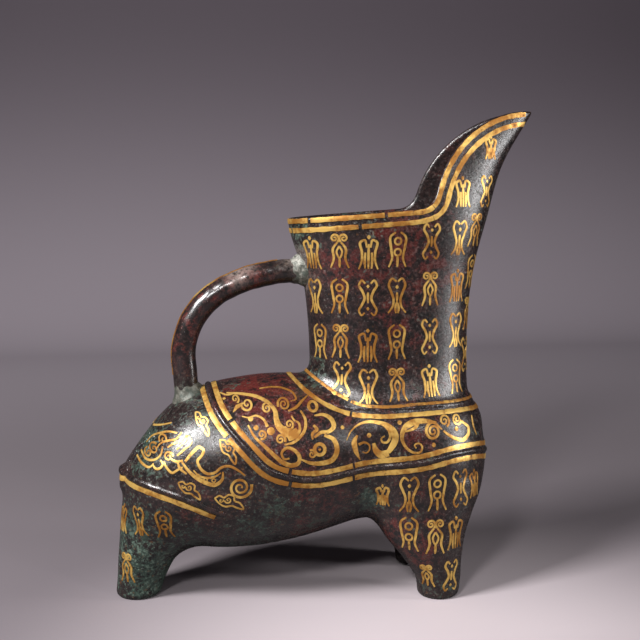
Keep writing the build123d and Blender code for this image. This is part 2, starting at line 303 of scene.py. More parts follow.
@dataclass(frozen=True)
class BronzeFinish:
    """Dark bronze with oxblood patches, green crust and fine pale pits.

    A noise is its grain in millimetres, its layers, their strength and its shift. A band is where a mask
    starts and where it is full.
    """

    name: str = "patinated_bronze"
    brown: Colour = (0.038, 0.020, 0.019)
    black: Colour = (0.009, 0.0075, 0.0075)
    oxblood: Colour = (0.096, 0.016, 0.013)
    deep_green: Colour = (0.026, 0.050, 0.038)
    malachite: Colour = (0.150, 0.215, 0.170)
    rust: Colour = (0.130, 0.055, 0.022)
    dust: Colour = (0.340, 0.280, 0.250)
    patina: float = 1.0
    roughness: float = 0.27
    unevenness: float = 0.36
    relief: float = 0.17
    metal: float = 0.10
    specular: float = 0.70
    broad: Row = (24.0, 4.0, 0.6)
    patch: Row = (11.0, 5.0, 0.66, 3.1)
    mottle: Row = (4.2, 5.0, 0.68, 1.7)
    speck: Row = (1.6, 4.0, 0.72, 5.3)
    grain: Row = (0.6, 2.0, 0.65, 7.9)
    rusting: Row = (2.4, 4.0, 0.7, 9.7)
    brown_band: Point = (0.38, 0.64)
    blood_band: Point = (0.54, 0.65)
    crust_band: Point = (0.555, 0.615)
    bloom_band: Point = (0.575, 0.64)
    rust_band: Point = (0.61, 0.70)
    pit_band: Point = (0.61, 0.66)
    worn_band: Point = (0.36, 0.56)

    def material(self) -> bpy.types.Material:
        """Build the material.

        Returns:
            The material.
        """
        tree = ShaderTree(self.name)
        green = tree.attribute("green")
        red = tree.attribute("red")
        worn = tree.attribute("worn")
        broad = tree.noise(*self.broad)
        patch = tree.noise(*self.patch)
        mottle = tree.noise(*self.mottle)
        speck = tree.noise(*self.speck)
        grain = tree.noise(*self.grain)
        colour = tree.mix((mottle * 0.7 + speck * 0.3).between(*self.brown_band), self.black, self.brown)
        blood = (patch * 0.40 + mottle * 0.35 + speck * 0.25 + red * 0.11).between(*self.blood_band)
        colour = tree.mix(blood * 0.85, colour, self.oxblood)
        crust = (mottle * 0.45 + broad * 0.25 + speck * 0.30 + green * 0.15).between(*self.crust_band)
        colour = tree.mix(crust * (0.85 * self.patina), colour, self.deep_green)
        bloom = (speck * 0.72 + mottle * 0.28 + green * 0.07).between(*self.bloom_band)
        colour = tree.mix(bloom * (0.10 + green * 0.66) * self.patina, colour, self.malachite)
        rusty = (tree.noise(*self.rusting) + green * 0.05).between(*self.rust_band)
        colour = tree.mix(rusty * (0.6 * self.patina), colour, self.rust)
        pits = (grain * 0.55 + speck * 0.45).between(*self.pit_band)
        colour = tree.mix(pits * (0.45 * self.patina), colour, self.dust)
        colour = tree.mix(worn * (mottle * 0.5 + speck * 0.5).between(*self.worn_band), colour, self.dust)
        rough = self.roughness + crust * 0.06 + bloom * 0.10 + (speck - 0.5) * self.unevenness
        height = mottle * 0.40 + speck * 0.50 + grain * 0.40 + bloom * 0.20 - pits * 0.35
        inputs = {"Base Color": colour, "Roughness": rough, "Metallic": self.metal,
                  "Specular IOR Level": self.specular}
        return tree.surface(inputs, height, self.relief)


@dataclass(frozen=True)
class GoldFinish:
    """Worn gold, bright yellow to amber brown, with chips gone dark.

    A noise is its grain in millimetres, its layers, their strength and its shift. A band is where a mask
    starts and where it is full.
    """

    name: str = "worn_gold"
    bright: Colour = (0.870, 0.545, 0.145)
    amber: Colour = (0.370, 0.155, 0.027)
    dark: Colour = (0.060, 0.030, 0.014)
    wear: float = 0.0
    roughness: float = 0.34
    relief: float = 0.12
    metal: float = 0.62
    broad: Row = (22.0, 3.0, 0.6, 2.3)
    mottle: Row = (3.4, 4.0, 0.65, 4.1)
    speck: Row = (0.9, 3.0, 0.65, 6.6)
    tired_band: Point = (0.41, 0.58)
    chip_band: Point = (0.57, 0.65)

    def material(self) -> bpy.types.Material:
        """Build the material.

        Returns:
            The material.
        """
        tree = ShaderTree(self.name)
        broad = tree.noise(*self.broad)
        mottle = tree.noise(*self.mottle)
        speck = tree.noise(*self.speck)
        tired = (broad * 0.65 + mottle * 0.35 + self.wear).between(*self.tired_band)
        colour = tree.mix(tired, self.bright, self.amber)
        chipped = (mottle * 0.55 + speck * 0.45 + self.wear * 0.6).between(*self.chip_band)
        colour = tree.mix(chipped * 0.85, colour, self.dark)
        rough = self.roughness + tired * 0.12 + chipped * 0.25
        metal = self.metal - chipped * 0.4
        return tree.surface({"Base Color": colour, "Roughness": rough, "Metallic": metal},
                            speck * 0.6 + mottle * 0.4 - chipped * 0.5, self.relief)


@dataclass(frozen=True)
class SolderFinish:
    """Dull grey-green solder with whitish bloom.

    A noise is its grain in millimetres, its layers, their strength and its shift. A band is where a mask
    starts and where it is full.
    """

    grey: Colour = (0.120, 0.115, 0.095)
    green: Colour = (0.050, 0.058, 0.046)
    bloom: Colour = (0.480, 0.460, 0.410)
    roughness: float = 0.48
    relief: float = 0.5
    metal: float = 0.25
    mottle: Row = (3.2, 4.0, 0.65, 2.9)
    speck: Row = (1.1, 3.0, 0.6, 8.2)
    grey_band: Point = (0.35, 0.65)
    white_band: Point = (0.52, 0.70)

    def material(self) -> bpy.types.Material:
        """Build the material.

        Returns:
            The material.
        """
        tree = ShaderTree("old_solder")
        pale = tree.attribute("worn")
        mottle = tree.noise(*self.mottle)
        speck = tree.noise(*self.speck)
        colour = tree.mix(mottle.between(*self.grey_band), self.green, self.grey)
        white = (speck * 0.6 + mottle * 0.4 + pale * 0.22).between(*self.white_band)
        colour = tree.mix(white * (0.25 + pale * 0.65), colour, self.bloom)
        inputs = {"Base Color": colour, "Roughness": self.roughness + white * 0.1, "Metallic": self.metal}
        return tree.surface(inputs, mottle * 0.6 + speck * 0.5, self.relief)


@dataclass(frozen=True)
class PaperFinish:
    """Studio paper with painted light: a painted pool of light before the vessel, painted shadow round and
    behind it, painted shade along the front, a paler painted horizon, painted falloff up the backdrop, and
    painted shade in reflections and bounce light.
    """

    name: str
    # Painted shade along the front, mostly out of view, that darkens the paper's reflection in the vessel.
    front: Colour
    # Painted pool of light before the vessel.
    near: Colour
    # Paper tone darkened into painted shadow round and behind the vessel.
    far: Colour
    # Paler painted band of light where the floor meets the backdrop.
    painted_lit_horizon: Colour
    # Painted falloff, darker up the backdrop.
    high: Colour
    # Spans in metres of the painted shade along the front, the painted pool of light, the paler band at the
    # back and the painted falloff up the backdrop; the pool's middle is given as a shift.
    front_fall: Point = (-0.14, -0.08)
    painted_pool_centre: Row = (-0.05, 0.10, 0.0)
    painted_pool_reach: Point = (0.03, 0.25)
    back_rise: Point = (0.20, 1.1)
    painted_falloff_climb: Point = (-0.14, 0.60)
    # To all rays but the camera's the paper is darker: painted shade on the vessel in its reflections and
    # bounce light.
    painted_bounce_shade: Colour = (0.010, 0.009, 0.010)
    painted_bounce_shade_share: float = 0.65
    roughness: float = 0.75
    fibre: Row = (1.4, 2.0, 0.5)
    fibre_rough: float = 0.1
    fibre_relief: float = 0.05

    def material(self) -> bpy.types.Material:
        """Build the material.

        Returns:
            The material.
        """
        tree = ShaderTree(self.name)
        fibre = tree.noise(*self.fibre)
        moved = tree.node("ShaderNodeVectorMath", {"operation": "ADD"},
                          {"Vector": tree.place, "Vector_001": self.painted_pool_centre})
        length = tree.node("ShaderNodeVectorMath", {"operation": "LENGTH"},
                           {"Vector": Shade(tree, moved.outputs["Vector"])})
        depth = tree.axis("Y")
        # Painted pool of light before the vessel, fading into painted shadow round and behind it.
        colour = tree.mix(Shade(tree, length.outputs["Value"]).between(*self.painted_pool_reach), self.near, self.far)
        # Painted shade along the front.
        colour = tree.mix(depth.between(*self.front_fall), self.front, colour)
        # Paler painted band towards the back.
        colour = tree.mix(depth.between(*self.back_rise), colour, self.painted_lit_horizon)
        # Painted falloff up the backdrop.
        colour = tree.mix(tree.axis("Z").between(*self.painted_falloff_climb), colour, self.high)
        # Painted shade for all rays but the camera's.
        seen = Shade(tree, tree.node("ShaderNodeLightPath").outputs["Is Camera Ray"])
        colour = tree.mix(seen, tree.mix(self.painted_bounce_shade_share, colour, self.painted_bounce_shade), colour)
        rough = self.roughness + (fibre - 0.5) * self.fibre_rough
        return tree.surface({"Base Color": colour, "Roughness": rough}, fibre, self.fibre_relief)


class Rows:
    """Smooth curves through rows of sizes, read at any station."""

    def __init__(self, rows: Sequence[Row]) -> None:
        """Sort the rows by station and find the slopes.

        Args:
            rows: Rows of a station and the sizes there.
        """
        table = np.array(sorted(rows), float)
        self.stations = table[:, 0]
        self.sizes = table[:, 1:]
        self.slopes = np.gradient(self.sizes, self.stations, axis=0)

    def at(self, station: Array) -> tuple[Array, ...]:
        """Read the sizes.

        Args:
            station: Stations, held to the first and last row outside them.

        Returns:
            One array for each size.
        """
        held = np.clip(station, self.stations[0], self.stations[-1])
        row = np.clip(np.searchsorted(self.stations, held) - 1, 0, len(self.stations) - 2)
        step = self.stations[row + 1] - self.stations[row]
        share = ((held - self.stations[row]) / step)[:, None]
        step = step[:, None]
        first, last = self.sizes[row], self.sizes[row + 1]
        pull_first, pull_last = self.slopes[row] * step, self.slopes[row + 1] * step
        square, cube = share ** 2, share ** 3
        mixed = (first * (2 * cube - 3 * square + 1) + pull_first * (cube - 2 * square + share)
                 + last * (3 * square - 2 * cube) + pull_last * (cube - square))
        return tuple(mixed.T)


def smooth_min(first: Array, second: Array, blend: float) -> Array:
    """Union of two forms with a fillet.

    Args:
        first: Distances to one form.
        second: Distances to the other form.
        blend: Reach of the fillet in millimetres.

    Returns:
        Distances to the union.
    """
    share = np.clip(0.5 + 0.5 * (second - first) / blend, 0.0, 1.0)
    return second + (first - second) * share - blend * share * (1.0 - share)


def smooth_max(first: Array, second: Array, blend: float) -> Array:
    """Overlap of two forms with a rounded edge."""
    return -smooth_min(-first, -second, blend)


def oval(across: Array, half_across: Array, up: Array, half_up: Array) -> Array:
    """Distance to an ellipse, close to true near its edge.

    Args:
        across: Offsets from the middle along the first axis.
        half_across: Half size along the first axis.
        up: Offsets along the second axis.
        half_up: Half size along the second axis.

    Returns:
        Distances, negative inside.
    """
    ratio = np.hypot(across / half_across, up / half_up)
    steep = np.hypot(across / half_across ** 2, up / half_up ** 2)
    return np.where(steep > 1e-6, (ratio - 1.0) * ratio / np.maximum(steep, 1e-6),
                    -np.minimum(half_across, half_up))


@dataclass
class Vessel:
    """The outer form of the whole casting: barrel, chest, legs and neck blended into one skin.

    A barrel row is X, then top, bottom and half width. A chest or neck row is Z, then back, front and half
    width. A leg row is Z, then middle, half length, offset to the side and half width.
    """

    barrel: Sequence[Row] = (
        (-109.6, 69.5, 64.5, 3.5), (-108.3, 73.4, 59.5, 9.4), (-105, 80, 50, 18), (-98, 90, 40, 27),
        (-87, 102.5, 32, 34.5), (-70, 113, 27, 39.5), (-45, 119, 25.5, 42), (-18, 120, 29, 42.5),
        (8, 116, 36, 40.5), (28, 108, 42, 34), (48, 99, 50, 22))
    chest: Sequence[Row] = (
        (103, -8, 83.5, 31), (97, -10, 87, 36), (88, -9, 89.2, 39.5), (75, -6, 91, 41.5),
        (62, 0, 90, 40.5), (50, 7, 87, 37), (43, 13, 82, 31))
    rear_leg: Sequence[Row] = (
        (0, -104.2, 12, 0, 12), (10, -102, 13.2, 0, 13), (20, -99.2, 15.4, 0, 16), (32, -95, 18.6, 0, 20),
        (50, -92, 20, 0, 23), (70, -88, 19, 0, 22))
    front_leg: Sequence[Row] = (
        (0, 58.5, 11.2, 26, 11), (9, 58.5, 12.2, 26, 12), (20, 55.5, 15.7, 25.5, 14.5),
        (33, 51.5, 22, 24, 17.5), (48, 50, 29, 21, 20), (62, 50, 32, 18, 19))
    neck: Sequence[Row] = (
        (95, -6, 84, 36.0), (103, -7.4, 81.8, 33.2), (112, -8, 80.7, 30.0), (121, -8.4, 80.3, 27.7),
        (132, -8.6, 80.2, 26.5), (145, -9.2, 80.3, 26.2), (176, -12.8, 83.4, 26),
        (206, -20.3, 91, 27.5), (234, -14, 99.3, 22), (264, 8, 116.8, 11))
    neck_widest: float = 0.38
    chest_blend: float = 6.0
    rear_blend: float = 15.0
    front_blend: float = 6.0
    neck_blend: float = 9.0
    barrel_round: float = 2.0
    chest_round: float = 6.0
    foot_round: float = 3.0
    wall: float = 3.2

    def __post_init__(self) -> None:
        """Read the rows into smooth curves."""
        self._barrel = Rows(self.barrel)
        self._chest = Rows(self.chest)
        self._legs = ((Rows(self.rear_leg), 0.0, self.rear_blend),
                      (Rows(self.front_leg), 1.0, self.front_blend),
                      (Rows(self.front_leg), -1.0, self.front_blend))
        self._neck = Rows(self.neck)

    def barrel_form(self, spots: Array) -> Array:
        """Distance to the barrel and rump.

        Args:
            spots: Points in millimetres.

        Returns:
            Distances in millimetres, negative inside.
        """
        x, y, z = spots.T
        top, bottom, half_width = self._barrel.at(x)
        side = oval(y, half_width, z - (top + bottom) / 2, (top - bottom) / 2)
        ends = np.maximum(self._barrel.stations[0] - x, x - self._barrel.stations[-1])
        return smooth_max(side, ends, self.barrel_round)

    def chest_form(self, spots: Array) -> Array:
        """Distance to the chest under the neck.

        Args:
            spots: Points in millimetres.

        Returns:
            Distances in millimetres, negative inside.
        """
        x, y, z = spots.T
        back, front, half_width = self._chest.at(z)
        side = oval(x - (back + front) / 2, (front - back) / 2, y, half_width)
        ends = np.maximum(self._chest.stations[0] - z, z - self._chest.stations[-1])
        return smooth_max(side, ends, self.chest_round)

    def leg_form(self, spots: Array, rows: Rows, side: float) -> Array:
        """Distance to one leg on the given side.

        Args:
            spots: Points in millimetres.
            rows: Sizes of the leg.
            side: Sign of Y, 0 for the middle.

        Returns:
            Distances in millimetres, negative inside.
        """
        x, y, z = spots.T
        middle, half_length, off, half_width = rows.at(z)
        round_it = oval(x - middle, half_length, y - side * off, half_width)
        return smooth_max(round_it, np.maximum(-z, z - rows.stations[-1]), self.foot_round)

    def neck_form(self, spots: Array) -> Array:
        """Distance to the neck, run on up to the spout tip.

        Args:
            spots: Points in millimetres.

        Returns:
            Distances in millimetres, negative inside.
        """
        x, y, z = spots.T
        back, front, half_width = self._neck.at(z)
        widest = back + self.neck_widest * (front - back)
        along = x - widest
        side = oval(along, np.where(along < 0, widest - back, front - widest), y, half_width)
        return np.maximum(side, self._neck.stations[0] - z)

    def body_form(self, spots: Array) -> Array:
        """Distance to barrel, chest and legs.

        Args:
            spots: Points in millimetres.

        Returns:
            Distances in millimetres, negative inside.
        """
        form = smooth_min(self.barrel_form(spots), self.chest_form(spots), self.chest_blend)
        for rows, side, blend in self._legs:
            form = smooth_min(form, self.leg_form(spots, rows, side), blend)
        return form

    def skin(self, spots: Array) -> Array:
        """Distance to the whole outer form."""
        return smooth_min(self.body_form(spots), self.neck_form(spots), self.neck_blend)

    def shell(self, spots: Array) -> Array:
        """Distance to the hollow casting, still closed at the top."""
        skin = self.skin(spots)
        return np.maximum(skin, -(skin + self.wall))


def slope_of(form: Form, spots: Array, step: float = 0.2) -> Array:
    """Unit outward directions of a form.

    Args:
        form: The form.
        spots: Points at which to look.
        step: Half the span of the differences in millimetres.

    Returns:
        One unit direction for each point.
    """
    rise = np.stack([form(spots + shift) - form(spots - shift) for shift in np.eye(3) * step], axis=1)
    return rise / np.maximum(np.linalg.norm(rise, axis=1), 1e-9)[:, None]


def settle(form: Form, spots: Array, rounds: int = 3, limit: float = 1.0) -> Array:
    """Move points on to the surface of a form.

    Args:
        form: The form.
        spots: Points near it.
        rounds: Number of steps.
        limit: Longest step in millimetres.

    Returns:
        The moved points.
    """
    for _ in range(rounds):
        spots = spots - np.clip(form(spots), -limit, limit)[:, None] * slope_of(form, spots)
    return spots


@dataclass
class Mesher:
    """Turns a form into a closed mesh of near-square faces."""

    pitch: float = 1.3

    def faces(self, form: Form, low: Row, high: Row) -> tuple[Array, Array]:
        """Mesh a form inside a box.

        Args:
            form: The form.
            low: Lowest corner of the box.
            high: Highest corner of the box.

        Returns:
            Points and four-cornered faces.
        """
        axes = [np.arange(a - 1.5 * self.pitch, b + 2.5 * self.pitch, self.pitch) for a, b in zip(low, high)]
        grid = np.stack(np.meshgrid(*axes, indexing="ij"), axis=-1)
        field_at = form(grid.reshape(-1, 3)).reshape(grid.shape[:3])
        corners = [(i, j, k) for i in (0, 1) for j in (0, 1) for k in (0, 1)]
        size = tuple(n - 1 for n in field_at.shape)

        def corner(values: Array, step: tuple[int, int, int]) -> Array:
            """Values at one corner of every cell."""
            return values[tuple(slice(s, s + n) for s, n in zip(step, size))]

        inside = sum(corner(field_at < 0, step).astype(np.int8) for step in corners)
        active = (inside > 0) & (inside < 8)
        number = np.full(size, -1)
        number[active] = np.arange(active.sum())
        total = np.zeros((active.sum(), 3))
        count = np.zeros(active.sum())
        for step in corners:
            for axis in range(3):
                if step[axis]:
                    continue
                end = tuple(s + (axis == a) for a, s in enumerate(step))
                first, last = corner(field_at, step)[active], corner(field_at, end)[active]
                cross = (first < 0) != (last < 0)
                share = np.where(cross, first / np.where(cross, first - last, 1.0), 0.0)[:, None]
                start = np.stack([corner(grid[..., a], step)[active] for a in range(3)], axis=1)
                total += np.where(cross[:, None], start + share * self.pitch * np.eye(3)[axis], 0.0)
                count += cross
        spots = total / count[:, None]
        quads = []
        for axis in range(3):
            one, two = (axis + 1) % 3, (axis + 2) % 3
            sign = np.moveaxis(field_at < 0, (axis, one, two), (0, 1, 2))
            cells = np.moveaxis(number, (axis, one, two), (0, 1, 2))
            change = sign[:-1, 1:-1, 1:-1] != sign[1:, 1:-1, 1:-1]
            a, b, c = np.nonzero(change)
            ring = np.stack([cells[a, b, c], cells[a, b + 1, c], cells[a, b + 1, c + 1], cells[a, b, c + 1]],
                            axis=1)
            outward = sign[:-1, 1:-1, 1:-1][change]
            quads.append(np.where(outward[:, None], ring, ring[:, ::-1]))
        return settle(form, spots, 2, self.pitch / 2), np.concatenate(quads)


@dataclass
class Stain:
    """Soft patches of one kind of patina, each given by X, Z, reach and strength in the side view."""

    name: str
    patches: Sequence[tuple[float, float, float, float]]

    def at(self, spots: Array) -> Array:
        """Strength at points.

        Args:
            spots: Points in millimetres.

        Returns:
            Strengths from 0 to 1.
        """
        total = np.zeros(len(spots))
        for x, z, reach, strength in self.patches:
            total += strength * np.exp(-((spots[:, 0] - x) ** 2 + (spots[:, 2] - z) ** 2) / reach ** 2)
        return np.clip(total, 0.0, 1.0)


STAINS = (
    Stain("green", ((-104, 30, 24, 0.70), (-96, 8, 18, 0.5), (-45, 34, 40, 0.50), (17, 57, 8, 1.0),
                    (-98, 92, 18, 0.55), (-70, 84, 26, 0.08), (-62, 106, 12, 0.3), (-17, 198, 12, 0.6),
                    (-8, 122, 10, 0.4), (20, 203, 9, 0.5), (90, 207, 14, 0.4), (-76, 114, 8, 0.5),
                    (55, 8, 12, 0.3), (35, 82, 16, 0.25))),
    Stain("red", ((2, 178, 16, 0.8), (38, 192, 20, 0.9), (33, 150, 20, 0.6), (60, 178, 14, 0.6),
                  (42, 36, 16, 0.9), (-12, 48, 26, 0.7), (-26, 104, 24, 0.9), (-44, 112, 16, 0.7),
                  (44, 92, 20, 0.6), (-78, 140, 16, 0.7), (-46, 172, 20, 0.7), (84, 225, 14, 0.5),
                  (-60, 50, 18, 0.5))),
    Stain("worn", ((-49, 175, 5.5, 0.6), (-42, 179, 4, 0.3), (-17, 184, 6, 0.6), (-13, 170, 5, 0.4))),
)


def plain_object(name: str, spots: Array, faces: Array, finish: bpy.types.Material) -> bpy.types.Object:
    """Make a smooth mesh object with its patina attributes.

    Args:
        name: Name of the piece.
        spots: Points in millimetres.
        faces: Corners of the faces.
        finish: Material of the piece.

    Returns:
        The object, linked to the scene.
    """
    mesh = bpy.data.meshes.new(name)
    mesh.from_pydata((spots * MM).tolist(), [], faces.tolist())
    mesh.polygons.foreach_set("use_smooth", np.ones(len(mesh.polygons), bool))
    for stain in STAINS:
        layer = mesh.attributes.new(stain.name, "FLOAT", "POINT")
        layer.data.foreach_set("value", stain.at(spots))
    mesh.materials.append(finish)
    made = bpy.data.objects.new(name, mesh)
    bpy.context.scene.collection.objects.link(made)
    return made


def enlist(piece: bpy.types.Object, slot: Slot, *nodes: str) -> bpy.types.Object:
    """Hang a piece on the frame and report it.

    Args:
        piece: The finished object.
        slot: Not used.
        *nodes: CAD nodes it stands for.

    Returns:
        The piece.
    """
    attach(piece, ROOT)
    if nodes:
        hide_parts(*nodes)
    LOG.info("%s: %d faces", piece.name, len(piece.data.polygons))
    return piece


@dataclass
class Castings:
    """The bronze castings: body shell, neck with spout, and three legs."""

    vessel: Vessel
    finish: bpy.types.Material
    room: Array
    margin: Row = (8.0, 8.0, 0.0)
    seam: Sequence[Row] = ((-40, 141), (-24, 124), (-12, 113.0), (-2, 107.6), (9, 105.4), (20, 105.0),
                           (45, 104.8), (75, 104.0), (100, 102.0))
    seam_gap: float = -0.7
    rear_seam: float = 19.0
    rear_limit: float = -70.0
    front_seam: float = 34.0
    front_limit: float = 20.0
    rim_back: Point = (-45.0, 203.4)
    rim_front: Point = (140.0, 216.9)
    spout_centre: Point = (114.4, 203.7)
    spout_radius: float = 59.9
    spout_blend: float = 9.0
    lip_round: float = 1.6
    body_mesher: Mesher = field(default_factory=lambda: Mesher(1.35))
    neck_mesher: Mesher = field(default_factory=lambda: Mesher(1.05))

    def above_seam(self, spots: Array) -> Array:
        """How far points lie above the seam between body and neck."""
        (height,) = Rows(self.seam).at(spots[:, 0])
        return spots[:, 2] - height

    def in_legs(self, spots: Array, rear: bool) -> Array:
        """How far points lie inside the space of the rear leg or of the front legs.

        Args:
            spots: Points in millimetres.
            rear: True for the rear leg.

        Returns:
            Depths in millimetres, negative outside.
        """
        x, z = spots[:, 0], spots[:, 2]
        if rear:
            return np.minimum(self.rear_seam - z, self.rear_limit - x)
        return np.minimum(self.front_seam - z, x - self.front_limit)

    def mouth(self, spots: Array) -> Array:
        """How far points lie in the open space above the rim and behind the spout's edge.

        Args:
            spots: Points in millimetres.

        Returns:
            Depths in millimetres, negative in the metal.
        """
        x, z = spots[:, 0], spots[:, 2]
        run, painted_falloff_climb = self.rim_front[0] - self.rim_back[0], self.rim_front[1] - self.rim_back[1]
        above = z - self.rim_back[1] - (x - self.rim_back[0]) * painted_falloff_climb / run
        over_rim = above * run / math.hypot(run, painted_falloff_climb)
        off_spout = np.hypot(x - self.spout_centre[0], z - self.spout_centre[1]) - self.spout_radius
        return smooth_min(over_rim, off_spout, self.spout_blend)

    def body(self, spots: Array) -> Array:
        """Form of the body shell.

        Args:
            spots: Points in millimetres.

        Returns:
            Distances in millimetres, negative inside.
        """
        form = np.maximum(self.vessel.shell(spots), self.above_seam(spots) + self.seam_gap)
        for rear in (True, False):
            form = np.maximum(form, self.in_legs(spots, rear) + self.seam_gap)
        return form

    def leg(self, spots: Array, rear: bool, side: float) -> Array:
        """Form of one leg below its seam."""
        form = np.maximum(self.vessel.shell(spots), self.seam_gap - self.in_legs(spots, rear))
        return np.maximum(form, -side * spots[:, 1]) if side else form

    def neck(self, spots: Array) -> Array:
        """Form of the neck with its rim and spout."""
        form = smooth_max(self.vessel.shell(spots), self.mouth(spots), self.lip_round)
        return np.maximum(form, self.seam_gap - self.above_seam(spots))

    def build(self) -> None:
        """Mesh the five castings and hang them on the frame."""
        jobs: tuple[tuple[str, Form, Mesher], ...] = (
            ("body_shell", self.body, self.body_mesher),
            ("neck_spout", self.neck, self.neck_mesher),
            ("rear_leg", lambda p: self.leg(p, True, 0.0), self.neck_mesher),
            ("front_leg_left", lambda p: self.leg(p, False, 1.0), self.neck_mesher),
            ("front_leg_right", lambda p: self.leg(p, False, -1.0), self.neck_mesher),
        )
        for node, form, mesher in jobs:
            low, high = (np.array(corner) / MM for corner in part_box(node))
            low, high = low - self.margin, high + self.margin
            spots, faces = mesher.faces(form, tuple(low), tuple(high))
            floor = np.array([*self.room[0, :2] / MM, 0.0])
            spots = np.clip(spots, np.maximum(low, floor), np.minimum(high, self.room[1] / MM))
            enlist(plain_object(f"{node}_casting", spots, faces, self.finish), Slot.BRONZE, node)


@dataclass
class Handle:
    """Loop handle and the solder round its two ends."""

    vessel: Vessel
    finish: bpy.types.Material
    solder: bpy.types.Material
    foot: Point = (-75.0, 100.0)
    knee: Point = (-77.4, 127.0)
    shoulder: Point = (-55.0, 167.4)
    head: Point = (-5.8, 176.0)
    half_width: float = 7.2
    half_thick: float = 6.5
    solder_blend: float = 7.0
    solder_reach: float = 10.5
    solder_room: float = 9.0
    solder_swell: float = 0.12
    solder_round: float = 4.0
    lump_height: float = 0.5
    lump_rates: Row = (0.8, 0.7, 0.75)
    lump_shifts: Row = (0.0, 1.0, 0.4)
    ripple_height: float = 0.12
    ripple_rates: Point = (0.33, 0.29)
    shiver_height: float = 0.06
    shiver_rate: float = 0.9
    seat_gap: float = 0.05
    mesher: Mesher = field(default_factory=lambda: Mesher(0.9))

    def __post_init__(self) -> None:
        """Draw the spine."""
        self.spine = self.draw_spine()

    def arc(self, start: Point, heading: Array, end: Point, steps: int = 24) -> tuple[Array, Array]:
        """Arc that leaves a point along a heading and reaches another point.

        Args:
            start: First point.
            heading: Unit direction at the start.
            end: Last point.
            steps: Number of stretches.

        Returns:
            Points after the first, and the unit direction at the end.
        """
        chord = np.array(end) - start
        length = np.linalg.norm(chord)
        turn = math.atan2(heading[0] * chord[1] - heading[1] * chord[0], float(heading @ chord))
        angles = np.linspace(0.0, 2 * turn, steps + 1)[1:]
        radius = length / (2 * math.sin(turn))
        side = np.array([-heading[1], heading[0]])
        ahead, aside = np.sin(angles)[:, None], (1 - np.cos(angles))[:, None]
        spots = np.array(start) + radius * (ahead * heading + aside * side)
        return spots, math.cos(2 * turn) * heading + math.sin(2 * turn) * side

    def draw_spine(self) -> Array:
        """Middle line of the bar in the side view: a straight rise and two tangent arcs.

        Returns:
            Points as X and Z.
        """
        rise = np.linspace(self.foot, self.knee, 6)
        heading = (rise[-1] - rise[0]) / np.linalg.norm(rise[-1] - rise[0])
        bend, heading = self.arc(self.knee, heading, self.shoulder)
        top, _ = self.arc(self.shoulder, heading, self.head)
        return np.concatenate([rise, bend, top])

    def bar(self, spots: Array) -> Array:
        """Form of the bent bar with faint hammered flats.

        Args:
            spots: Points in millimetres.

        Returns:
            Distances in millimetres, negative inside.
        """
        flat = spots[:, (0, 2)]
        near = np.full(len(spots), 1e9)
        for first, last in zip(self.spine[:-1], self.spine[1:]):
            along = last - first
            share = np.clip((flat - first) @ along / (along @ along), 0.0, 1.0)
            near = np.minimum(near, np.linalg.norm(flat - first - share[:, None] * along, axis=1))
        along, up = flat.T
        ripple = self.ripple_height * np.sin(along * self.ripple_rates[0]) * np.sin(up * self.ripple_rates[1])
        ripple = ripple + self.shiver_height * np.sin(along * self.shiver_rate)
        return np.hypot(near, spots[:, 1] * self.half_thick / self.half_width) - self.half_thick + ripple

    def rod(self, spots: Array) -> Array:
        """Form of the bar up to the surfaces of rump and neck."""
        return np.maximum(self.bar(spots), self.seat_gap - self.vessel.skin(spots))

    def collar(self, spots: Array, end: Point) -> Array:
        """Form of the solder round the bar at one end, run a little into bar and casting.

        Args:
            spots: Points in millimetres.
            end: Place on the spine, as X and Z.

        Returns:
            Distances in millimetres, negative inside.
        """
        bar, skin = self.bar(spots), self.vessel.skin(spots)
        lumps = self.lump_height * np.sin(spots * self.lump_rates + self.lump_shifts).prod(axis=1)
        fillet = smooth_min(bar, skin, self.solder_blend) - self.solder_swell + lumps
        near = np.sqrt((spots[:, 0] - end[0]) ** 2 + spots[:, 1] ** 2 + (spots[:, 2] - end[1]) ** 2)
        return smooth_max(fillet, near - self.solder_reach, self.solder_round)

    def ends(self) -> dict[str, Point]:
        """Places on the spine where it meets the rump and the neck.

        Returns:
            Places as X and Z, by node.
        """
        flat = np.stack([self.spine[:, 0], np.zeros(len(self.spine)), self.spine[:, 1]], axis=1)
        outside = np.nonzero(self.vessel.skin(flat) > 0)[0]
        first, last = self.spine[outside[0]], self.spine[outside[-1]]
        return {"handle_back_solder": tuple(first), "handle_neck_solder": tuple(last)}

    def build(self) -> None:
        """Mesh the bar and the two runs of solder."""
        jobs: list[tuple[str, Form, Slot, bpy.types.Material]]
        jobs = [("handle", self.rod, Slot.BRONZE, self.finish)]
        for node, end in self.ends().items():
            jobs.append((node, lambda p, end=end: self.collar(p, end), Slot.SOLDER, self.solder))
        for node, form, slot, finish in jobs:
            low, high = (np.array(corner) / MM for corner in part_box(node))
            room = self.solder_room if slot is Slot.SOLDER else 0.0
            spots, faces = self.mesher.faces(form, tuple(low - room), tuple(high + room))
            enlist(plain_object(f"{node}_piece", spots, faces, finish), slot, node)


